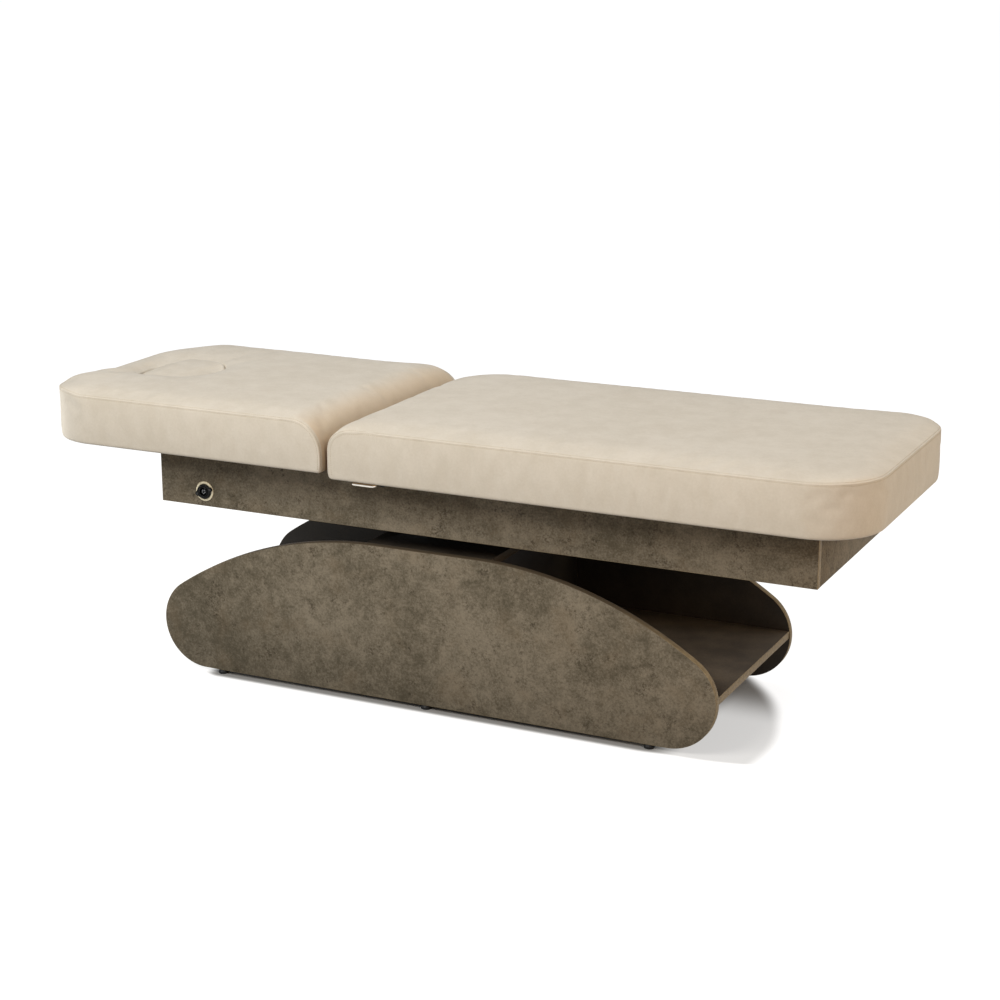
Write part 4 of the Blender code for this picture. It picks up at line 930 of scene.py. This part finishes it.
class Cushion:
    """A box of grid points with its gap end rolled over and its far corners rounded in plan."""

    def __init__(self, length, nose, end_run, swellings, gap_tuck=UNDER_TUCK):
        self.gap_tuck = gap_tuck
        self.length = length
        self.nose = nose
        self.end_run = end_run
        self.swellings = swellings
        self.alongs = stations([0.0, nose, length - CORNER_RADIUS, length], WEAVE)
        inner = HALF_WIDTH - CORNER_RADIUS
        self.acrosses = stations([-HALF_WIDTH, -inner, inner, HALF_WIDTH], WEAVE)
        # As many rows in the nose's height as there are columns in its length
        nose_columns = self.alongs.index(nose)
        upper = [FOAM_HEIGHT - nose + nose * k / nose_columns for k in range(nose_columns + 1)]
        self.heights = stations([UNDER_ROLL, FOAM_HEIGHT - nose], WEAVE)[:-1] + upper
        self.shape = bmesh.new()
        self.points = {}

    def place(self, i, j, k):
        """Where a grid point lies, as (distance from the gap end, y, height)."""
        along, across, height = self.alongs[i], self.acrosses[j], self.heights[k]
        far_start = self.length - CORNER_RADIUS
        side_start = HALF_WIDTH - CORNER_RADIUS
        to_end, to_side = along - far_start, abs(across) - side_start
        from_side, from_end = HALF_WIDTH - abs(across), self.length - along
        rise = SHOULDER * ease(from_side / SHOULDER_RUN) * ease(from_end / self.end_run)
        rise += CROWN * ease(from_side / CROWN_RUN) * ease(from_end / CROWN_RUN)
        for swelling in self.swellings:
            rise += swelling(along, across)
        if to_end > 0 and to_side > 0:
            to_end, to_side = round_corner(to_end, to_side, CORNER_RADIUS)
            along, across = far_start + to_end, math.copysign(side_start + to_side, across)
        into_nose, above = self.nose - along, height - (FOAM_HEIGHT - self.nose)
        if into_nose > 0 and above > 0:
            into_nose, above = round_corner(into_nose, above, self.nose)
            along, height = self.nose - into_nose, FOAM_HEIGHT - self.nose + above
        share = max(0.0, (height - FOAM_HEIGHT + self.nose) / self.nose)
        return Vector((along, across, height + rise * share))

    def point(self, i, j, k):
        if (i, j, k) not in self.points:
            self.points[i, j, k] = self.shape.verts.new(self.place(i, j, k))
        return self.points[i, j, k]

    def skin(self, cells, corner):
        """Faces over a grid; corner gives the grid point of a cell's corner."""
        for a, b in cells:
            spots = [corner(a, b), corner(a + 1, b), corner(a + 1, b + 1), corner(a, b + 1)]
            self.shape.faces.new([self.point(*spot) for spot in spots])

    def cover(self, left_out=()):
        """Top panel with the rolled end, then the side band, then the edge that is turned under."""
        far, wide, high = len(self.alongs) - 1, len(self.acrosses) - 1, len(self.heights) - 1
        top = [(i, j) for i in range(far) for j in range(wide) if (i, j) not in left_out]
        self.skin(top, lambda i, j: (i, j, high))
        for end in (0, far):
            self.skin([(j, k) for j in range(wide) for k in range(high)], lambda j, k: (end, j, k))
        for side in (0, wide):
            self.skin([(i, k) for i in range(far) for k in range(high)], lambda i, k: (i, side, k))
        self.seam = [(0, 0, k) for k in range(high)] + [(i, 0, high) for i in range(far)]
        self.seam += [(far, j, high) for j in range(wide)] + [(i, wide, high) for i in range(far, 0, -1)]
        self.seam += [(0, wide, k) for k in range(high, -1, -1)]
        self.turn_under([self.point(i, j, 0) for i, j in rim(0, far, 0, wide)])

    def turn_under(self, ring):
        """The cover goes round the lower edge, along the board's underside and up into its pocket."""
        outline = [vert.co.copy() for vert in ring]
        inward = []
        for index, spot in enumerate(outline):
            before = (spot - outline[index - 1]).normalized()
            after = (outline[(index + 1) % len(outline)] - spot).normalized()
            inner = (Vector((-before.y, before.x, 0.0)) + Vector((-after.y, after.x, 0.0))).normalized()
            inward.append(inner / max(inner.dot(Vector((-after.y, after.x, 0.0))), 0.5))
        drops = []
        for step in range(1, 4):
            angle = math.radians(30 * step)
            depth = UNDER_LIFT + (UNDER_ROLL - UNDER_LIFT) * (1 - math.sin(angle))
            turn = 1 - math.cos(angle)
            drops.append((UNDER_TUCK * turn, self.gap_tuck * turn, depth))
        for inset, height in ((BOARD_INSET * 0.7, 0.0), (BOARD_INSET, 0.0), (BOARD_INSET, POCKET_TOP)):
            drops.append((inset, inset, height))
        self.held = list(ring)
        for inset, gap_inset, height in drops:
            new_ring = []
            for spot, inner in zip(outline, inward):
                lengthwise = gap_inset if spot.x < 0.001 else inset
                moved = (spot.x + inner.x * lengthwise, spot.y + inner.y * inset, height)
                new_ring.append(self.shape.verts.new(moved))
            bridge(self.shape, ring, new_ring)
            ring = new_ring
            self.held += ring

    def sewn(self, name, origin, direction):
        """The finished cushion object: swollen by a cloth simulation, smoothed, and put in its place."""
        seam = [self.point(*spot) for spot in self.seam]
        bmesh.ops.recalc_face_normals(self.shape, faces=self.shape.faces)
        self.shape.verts.index_update()
        held = sorted({vert.index for vert in self.held + seam})
        crease = self.shape.edges.layers.float.new("crease_edge")
        for first, second in zip(seam, seam[1:]):
            self.shape.edges.get((first, second))[crease] = SEAM_CREASE
        self.seam_points = [vert.index for vert in seam]
        for face in self.shape.faces:
            face.smooth = True
        mesh = bpy.data.meshes.new(name)
        self.shape.to_mesh(mesh)
        self.shape.free()
        cushion = new_piece(name, mesh, cover_finish)
        swell(cushion, held)
        smooth_once(cushion)
        graph = bpy.context.evaluated_depsgraph_get()
        smoothed = bpy.data.meshes.new_from_object(cushion.evaluated_get(graph), depsgraph=graph)
        cushion.modifiers.clear()
        cushion.vertex_groups.clear()
        # The face that lies on the board closes the foam, round the face hole where there is one.
        body = bmesh.new()
        body.from_mesh(smoothed)
        hem = [edge for edge in body.edges if edge.is_boundary]
        bmesh.ops.triangle_fill(body, use_beauty=True, edges=hem)
        bmesh.ops.recalc_face_normals(body, faces=body.faces)
        turn = Matrix.Identity(4) if direction > 0 else Matrix.Rotation(math.pi, 4, "Z")
        body.transform(Matrix.Translation(origin) @ turn)
        body.to_mesh(smoothed)
        body.free()
        cushion.data = smoothed
        return cushion


def swell(cushion, held):
    """Cloth under light pressure, fixed where it is sewn or stapled; no point moves further than the cap."""
    group = cushion.vertex_groups.new(name="held")
    group.add(held, 1.0, "REPLACE")
    cloth = cushion.modifiers.new("swell", "CLOTH")
    settings = {"quality": 4, "use_pressure": True, "uniform_pressure_force": 4.0, "tension_stiffness": 20.0}
    settings |= {"compression_stiffness": 20.0, "shear_stiffness": 8.0, "bending_stiffness": 1.0}
    settings |= {"shrink_min": -0.004, "vertex_group_mass": "held"}
    for setting, value in settings.items():
        setattr(cloth.settings, setting, value)
    cloth.settings.effector_weights.gravity = 0.0
    cloth.collision_settings.use_collision = False
    scene = bpy.context.scene
    for step in range(1, SWELL_STEPS + 1):
        scene.frame_set(step)
    graph = bpy.context.evaluated_depsgraph_get()
    swollen = cushion.evaluated_get(graph).data
    places = []
    for before, after in zip(cushion.data.vertices, swollen.vertices):
        move = after.co - before.co
        if move.length > 1e-9:
            move *= SWELL_CAP * math.tanh(move.length / SWELL_CAP) / move.length
        places.append(before.co + move)
    cushion.modifiers.remove(cloth)
    for vert, spot in zip(cushion.data.vertices, places):
        vert.co = spot
    cushion.data.update()
    scene.frame_set(1)


ALONG_PATH = {
    "line": ("GeometryNodeMeshToCurve", {}, {}),
    "spaced": ("GeometryNodeResampleCurve", {"mode": "LENGTH"}, {}),
}
PATH_LINKS = [
    ("given", "Path", "line", "Mesh"),
    ("line", 0, "spaced", "Curve"),
    ("given", "Step", "spaced", "Length"),
    ("given", "Finish", "finished", "Material"),
]


def seam_ridge_tree():
    """A sewn ridge: a soft round strip along a path."""
    given = {"Path": "Geometry", "Radius": "Float", "Step": "Float", "Finish": "Material"}
    nodes = {
        **ALONG_PATH,
        "section": ("GeometryNodeCurvePrimitiveCircle", {}, {"Resolution": 10}),
        "strip": ("GeometryNodeCurveToMesh", {}, {"Fill Caps": True}),
        "smooth": ("GeometryNodeSetShadeSmooth", {}, {}),
        "real": COPIES["real"],
        "finished": COPIES["finished"],
    }
    links = [
        ("given", "Radius", "section", "Radius"),
        ("spaced", 0, "strip", "Curve"),
        ("section", 0, "strip", "Profile Curve"),
        ("strip", 0, "smooth", "Geometry"),
        ("smooth", 0, "real", 0),
        ("real", 0, "finished", "Geometry"),
        ("finished", 0, "result", 0),
    ]
    return node_tree("seam_ridge", given, "Ridge", nodes, PATH_LINKS + links)


def stitch_tree():
    """Stitches at even steps along a path, each a little longer or shorter than the next."""
    given = {"Path": "Geometry", "Step": "Float", "Stitch": "Object", "Finish": "Material", "Seed": "Int"}
    nodes = {
        **ALONG_PATH,
        "tangent": ("GeometryNodeInputTangent", {}, {}),
        "facing": ("FunctionNodeAlignRotationToVector", {"axis": "X"}, {}),
        "chance": (CHANCE, {}, {2: 0.9, 3: 1.06}),
        **COPIES,
    }
    links = [
        ("tangent", 0, "facing", "Vector"),
        ("given", "Seed", "chance", "Seed"),
        ("given", "Stitch", "shape", "Object"),
        ("spaced", 0, "placed", "Points"),
        ("facing", 0, "placed", "Rotation"),
        ("chance", 1, "placed", "Scale"),
    ]
    return node_tree("stitches", given, "Stitches", nodes, PATH_LINKS + links + COPY_LINKS)


def path_mesh(*paths):
    """Open lines through points, as the guide of a seam."""
    places, edges = [], []
    for path in paths:
        start = len(places)
        places += path
        edges += [(start + n, start + n + 1) for n in range(len(path) - 1)]
    mesh = bpy.data.meshes.new("path")
    mesh.from_pydata(places, edges, [])
    return mesh


SEAM_RADIUS = 0.0032
SEAM_PROUD = 0.0008
SEAM_STEP = 0.005
STITCH_ROW = 0.0036
STITCH_STEP = 0.0052
STITCH_PROUD = 0.0001
LAP_START = 0.03
LAP_RUN = 0.09


def sew_seam(cushion, points, name, body, seed, gap_end=None, lap=0.0):
    """The ridge over the joint of top and band, with a row of stitches on each side of it.

    Near its gap end the top panel may lap round onto the side; the joint lies lower there.
    """
    verts = cushion.data.vertices
    spots = [verts[n].co.copy() for n in points]
    normals = [verts[n].normal.copy() for n in points]
    graph = bpy.context.evaluated_depsgraph_get()
    skin = BVHTree.FromObject(cushion, graph)
    for n, (spot, normal) in enumerate(zip(spots, normals)):
        inset = lap * fade((spot.x - gap_end - LAP_START) / LAP_RUN) if lap else 0.0
        if inset > 0.0:
            inward = Vector((-normal.x, 0.0, -normal.z)).normalized()
            spots[n], normals[n], _, _ = skin.find_nearest(spot + inward * inset)
    ridge = [spot - normal * (SEAM_RADIUS - SEAM_PROUD) for spot, normal in zip(spots, normals)]
    inputs = {"Radius": SEAM_RADIUS, "Step": SEAM_STEP, "Finish": cover_finish}
    piece = new_piece(name + "_seam_ridge", grown_by(ridge_tree, name, path_mesh(ridge), inputs))
    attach(piece, body)
    rows = ([], [])
    for n, (spot, normal) in enumerate(zip(spots, normals)):
        ahead = spots[min(n + 1, len(spots) - 1)] - spots[max(n - 1, 0)]
        across = ahead.normalized().cross(normal)
        for row, side in zip(rows, (-1, 1)):
            beside = spot + across * side * STITCH_ROW - normal * STITCH_ROW * 0.5
            nearest, facing, _, _ = skin.find_nearest(beside)
            row.append(nearest + facing * STITCH_PROUD)
    inputs = {"Step": STITCH_STEP, "Stitch": stitch, "Finish": thread, "Seed": seed}
    piece = new_piece(name + "_seam_stitches", grown_by(stitches, name, path_mesh(*rows), inputs))
    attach(piece, body)


def sewing_thread():
    made, shader, place = new_finish("cream_thread", Specular_IOR_Level=0.3)
    twist = place.stretched((1.0, 1.0, 1.0), (0.3, 0.5, 0.2)).noise(1600.0, 2.0)
    colour = twist.blend(paint(182, 167, 143), paint(210, 197, 176))
    surface(shader, colour, 0.55 + twist * 0.2, twist, 0.0001)
    return made


cover_finish = leatherette()
thread = sewing_thread()
ridge_tree = seam_ridge_tree()
stitches = stitch_tree()
stitch_profile = [(0.0, -0.0021), (0.0004, -0.0016), (0.00045, 0.0), (0.0004, 0.0016), (0.0, 0.0021)]
stitch_shape = turned_shape(stitch_profile, 6)
stitch_shape.transform(Matrix.Rotation(math.pi / 2, 4, "Y"))
stitch = head_object("stitch", stitch_shape)

SEAT_START = -0.215
SEAT_LENGTH = 1.220
SEAT_NOSE = 0.050
SEAT_UNDERSIDE = 0.5373
SEAT_LAP = 0.007
# Where the far corners are pressed lower than the rest, as (depth, reach from the end, reach from the side)
GAP_PRESSES = ((0.020, 0.200, 0.150), (0.014, 0.130, 0.320))
FOOT_PRESSES = ((0.004, 0.120, 0.120),)


def pressed(presses, from_end, from_side):
    return sum(depth * fade(from_end / end) * fade(from_side / side) for depth, end, side in presses)


def seat_corners(along, across):
    from_side = HALF_WIDTH - across
    return -pressed(GAP_PRESSES, along, from_side) - pressed(FOOT_PRESSES, SEAT_LENGTH - along, from_side)


seat = Cushion(SEAT_LENGTH, SEAT_NOSE, SHOULDER_RUN, [seat_corners], GAP_TUCK)
seat.cover()
seat_cushion = seat.sewn("seat_section_cushion", (SEAT_START, 0.0, SEAT_UNDERSIDE), 1)
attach(seat_cushion, "top")
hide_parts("seat_cushion")
sew_seam(seat_cushion, seat.seam_points, "seat", "top", 11, SEAT_START, SEAT_LAP)

# ------------------------------------------------------------------ Head cushion
# The same build on a shorter board, with a fuller roll at the gap and a rolled hole for the face.
# The hole's lining is sewn to the top panel and glued to the board below.

HEAD_START = -0.234
HEAD_LENGTH = 0.771
HEAD_NOSE = 0.075
HEAD_UNDERSIDE = 0.5475
HOLE_ALONG = HEAD_LENGTH - 0.180
HOLE_LENGTH = 0.205
HOLE_WIDTH = 0.190
HOLE_CORNER = 0.085
HOLE_MARGIN = 0.034
HOLE_ROLL = 0.007
RIM_DROP = 0.0028
RIM_SLOPE = 0.014
HEAD_END_RUN = 0.110
RISE_RUN = 0.090
FAR_SAG = 0.0095
FAR_SAG_RUN = 0.130
# How far the worn head end stands above or below a straight edge, across the couch
END_RISE = [(-0.345, 0.004), (-0.263, 0.0010), (-0.184, 0.0070), (-0.104, 0.0025), (-0.022, -0.0045)]
END_RISE += [(0.063, -0.0035), (0.150, -0.0025), (0.240, -0.0065), (0.345, -0.0070)]


def head_end_rise(along, across):
    """The foam's unevenness: at the head end, fading towards the face hole, and low along the far side."""
    side = min(max(-across, END_RISE[0][0]), END_RISE[-1][0])
    for (start, low), (end, high) in zip(END_RISE, END_RISE[1:]):
        if start <= side <= end:
            part = (side - start) / (end - start)
            height = low + (high - low) * part * part * (3 - 2 * part)
    height *= ease((along - HEAD_LENGTH + HEAD_END_RUN) / RISE_RUN)
    return height - FAR_SAG * fade((HALF_WIDTH + across) / FAR_SAG_RUN)


def face_outline(x, y, half_long, half_wide, corner):
    """A point on the rim of a rectangle moved onto the rounded outline."""
    over_x, over_y = abs(x) - (half_long - corner), abs(y) - (half_wide - corner)
    if over_x > 0 and over_y > 0:
        over_x, over_y = round_corner(over_x, over_y, corner)
        x = math.copysign(half_long - corner + over_x, x)
        y = math.copysign(half_wide - corner + over_y, y)
    return x, y


def rolled_edge():
    """The quarter round of a rolled edge, as (distance from its side, drop)."""
    turns = [math.radians(22.5 * step) for step in range(5)]
    return [(HOLE_ROLL * (1 - math.sin(turn)), HOLE_ROLL * (1 - math.cos(turn))) for turn in turns]


def block_between(values, middle_value, reach):
    """The numbers of the two values nearest to the ends of a stretch."""
    ends = (middle_value - reach, middle_value + reach)
    return [min(range(len(values)), key=lambda n: abs(values[n] - end)) for end in ends]


def line_face_hole(cushion):
    """Leaves the face hole out of the top panel and rolls the panel's edge down into it."""
    low_i, high_i = block_between(cushion.alongs, HOLE_ALONG, HOLE_LENGTH / 2 + HOLE_MARGIN)
    low_j, high_j = block_between(cushion.acrosses, 0.0, HOLE_WIDTH / 2 + HOLE_MARGIN)
    cushion.cover({(i, j) for i in range(low_i, high_i) for j in range(low_j, high_j)})
    high = len(cushion.heights) - 1
    ring = [cushion.point(i, j, high) for i, j in rim(low_i, high_i, low_j, high_j)]
    outer = [vert.co.copy() for vert in ring]
    block_long = (cushion.alongs[high_i] - cushion.alongs[low_i]) / 2
    block_mid = (cushion.alongs[high_i] + cushion.alongs[low_i]) / 2
    block_wide = cushion.acrosses[high_j]
    level = FOAM_HEIGHT + SHOULDER + CROWN
    # Each ring as (share of the way to the rolled rim, margin outside the hole, drop below the top)
    rings = [(0.45, HOLE_ROLL, 0.0004), (0.8, HOLE_ROLL, 0.0016)]
    rings += [(1.0, margin, RIM_DROP + drop) for margin, drop in rolled_edge()]
    rolled = len(rings)
    lining_top, depth = RIM_DROP + HOLE_ROLL, level - POCKET_TOP
    rings += [(1.0, 0.0, lining_top + (depth - lining_top) * n / 6) for n in range(1, 7)]
    for count, (share, margin, drop) in enumerate(rings):
        new_ring = []
        for spot in outer:
            half_long, half_wide = HOLE_LENGTH / 2 + margin, HOLE_WIDTH / 2 + margin
            x = (spot.x - block_mid) / block_long * half_long
            y = spot.y / block_wide * half_wide
            x, y = face_outline(x, y, half_long, half_wide, HOLE_CORNER + margin)
            x, y = spot.x + (x + HOLE_ALONG - spot.x) * share, spot.y + (y - spot.y) * share
            base = spot.z + (level - spot.z) * share
            headward = min(max(0.0, (x - HOLE_ALONG) / (HOLE_LENGTH / 2)) ** 2, 1.0)
            slope = RIM_SLOPE * share**2 * headward if count < rolled else 0.0
            new_ring.append(cushion.shape.verts.new((x, y, base - drop - slope)))
        bridge(cushion.shape, ring, new_ring)
        ring = new_ring
        if share == 1.0:
            cushion.held += ring


head = Cushion(HEAD_LENGTH, HEAD_NOSE, HEAD_END_RUN, [head_end_rise])
line_face_hole(head)
head_cushion = head.sewn("head_section_cushion", (HEAD_START, 0.0, HEAD_UNDERSIDE), -1)
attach(head_cushion, "head_section")
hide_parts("head_cushion")
sew_seam(head_cushion, head.seam_points, "head", "head_section", 12)

# ------------------------------------------------------------------ Face plug
# A loose padded block in the same leatherette that closes the face hole and lifts straight out.
# It stands on the board's ledge, and its edges are rolled like those of the hole.

PLUG_CLEARANCE = 0.0006
PLUG_FOOT = POCKET_TOP + 0.0003
PLUG_FOOT_ROUND = 0.003
PLUG_DOME = 0.0035
PLUG_WEAVE = (0.09, 0.12)
HEAD_SINK = 0.017
FOOT_SINK = 0.016
NEAR_SINK = 0.004
FAR_RISE = 0.003


def plug_shape():
    half_long, half_wide = HOLE_LENGTH / 2 - PLUG_CLEARANCE, HOLE_WIDTH / 2 - PLUG_CLEARANCE
    columns, rows = [stations([-1.0, 1.0], step) for step in PLUG_WEAVE]
    level = FOAM_HEIGHT + SHOULDER + CROWN
    shape = bmesh.new()
    # Rings down the side as (inset, height); the top panel is the first ring's inside.
    sections = [(inset, level - RIM_DROP - drop) for inset, drop in rolled_edge()]
    side_top, side_foot = sections[-1][1], PLUG_FOOT + PLUG_FOOT_ROUND
    sections += [(0.0, side_top + (side_foot - side_top) * n / 6) for n in range(1, 7)]
    sections += [(PLUG_FOOT_ROUND, PLUG_FOOT)]

    def on_outline(u, v, inset):
        x, y = u * (half_long - inset), v * (half_wide - inset)
        return face_outline(x, y, half_long - inset, half_wide - inset, HOLE_CORNER - PLUG_CLEARANCE - inset)

    def settled(u, v):
        """How far the plug lies below the rim: most at its ends, less at the near side, least at the far."""
        at_head = HEAD_SINK * max(0.0, (-u - 0.3) / 0.7) ** 1.5
        at_foot = FOOT_SINK * max(0.0, (u - 0.4) / 0.6) ** 2 * (1 - v * v) ** 1.5
        return at_head + at_foot + NEAR_SINK * max(0.0, -v) - FAR_RISE * max(0.0, v)

    grid = {}
    for a, u in enumerate(columns):
        for b, v in enumerate(rows):
            x, y = on_outline(u, v, sections[0][0])
            dome = (1 - u**4) * (1 - v**2)
            grid[a, b] = shape.verts.new((x, y, sections[0][1] - settled(u, v) + PLUG_DOME * dome))
    for a in range(len(columns) - 1):
        for b in range(len(rows) - 1):
            shape.faces.new((grid[a, b], grid[a + 1, b], grid[a + 1, b + 1], grid[a, b + 1]))
    last_a, last_b = len(columns) - 1, len(rows) - 1
    loop = rim(0, last_a, 0, last_b)
    ring = [grid[spot] for spot in loop]
    for inset, height in sections[1:]:
        new_ring = []
        for a, b in loop:
            x, y = on_outline(columns[a], rows[b], inset)
            sunk = settled(columns[a], rows[b]) * (height - PLUG_FOOT) / (level - PLUG_FOOT)
            new_ring.append(shape.verts.new((x, y, height - sunk)))
        bridge(shape, ring, new_ring)
        ring = new_ring
    shape.faces.new(ring)
    bmesh.ops.recalc_face_normals(shape, faces=shape.faces)
    for face in shape.faces:
        face.smooth = True
    return shape


plug_mesh = bpy.data.meshes.new("padded_face_plug")
plug_body = plug_shape()
plug_body.transform(Matrix.Translation((HEAD_START - HOLE_ALONG, 0.0, HEAD_UNDERSIDE)))
plug_body.to_mesh(plug_mesh)
plug_body.free()
padded_plug = new_piece("padded_face_plug", plug_mesh, cover_finish)
smooth_once(padded_plug)
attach(padded_plug, "face_plug")
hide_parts("face_plug")

# ------------------------------------------------------------------ Section hinges
# Four pressed steel leaves screwed under the boards carry the knuckles between the two sections.
# Two bright pins through the knuckles are the axis on which the head section tilts.

HINGE_X = -0.2245
# The screws of a leaf, as (reach from the hinge's axis, place across the leaf)
LEAF_SCREWS = ((0.030, -0.018), (0.030, 0.018), (0.064, 0.0))

for side in ("seat", "head"):
    dress(black_coat, f"{side}_hinge_leaf_front", f"{side}_hinge_leaf_rear")
dress(drawn_steel, "hinge_pin_front", "hinge_pin_rear")
for side, towards, body, seed in (("seat", 1, "top", 21), ("head", -1, "head_section", 22)):
    places = []
    for row in ("front", "rear"):
        low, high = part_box(f"{side}_hinge_leaf_{row}")
        for reach, spread in LEAF_SCREWS:
            places.append((HINGE_X + towards * reach, (low.y + high.y) / 2 + spread, low.z))
    fasten(f"{side}_leaf_screws", places, FACING_DOWN, screw_head, zinc, body, seed)

# ------------------------------------------------------------------ Gas spring
# A lockable gas spring holds the head section: a black cylinder on the frame, a bright rod to the board.
# It turns on a pin between the cheeks of a folded steel bracket at the frame.

dress(black_coat, "gas_spring_cylinder", "spring_frame_bracket", "spring_board_bracket")
ground_steel = bare_steel("ground_rod_steel", (0.6, 0.6, 0.62, 1), (0.8, 0.8, 0.81, 1), 0.12,
                          (500.0, 60.0, 60.0))
dress(ground_steel, "gas_spring_rod", "spring_frame_pin")
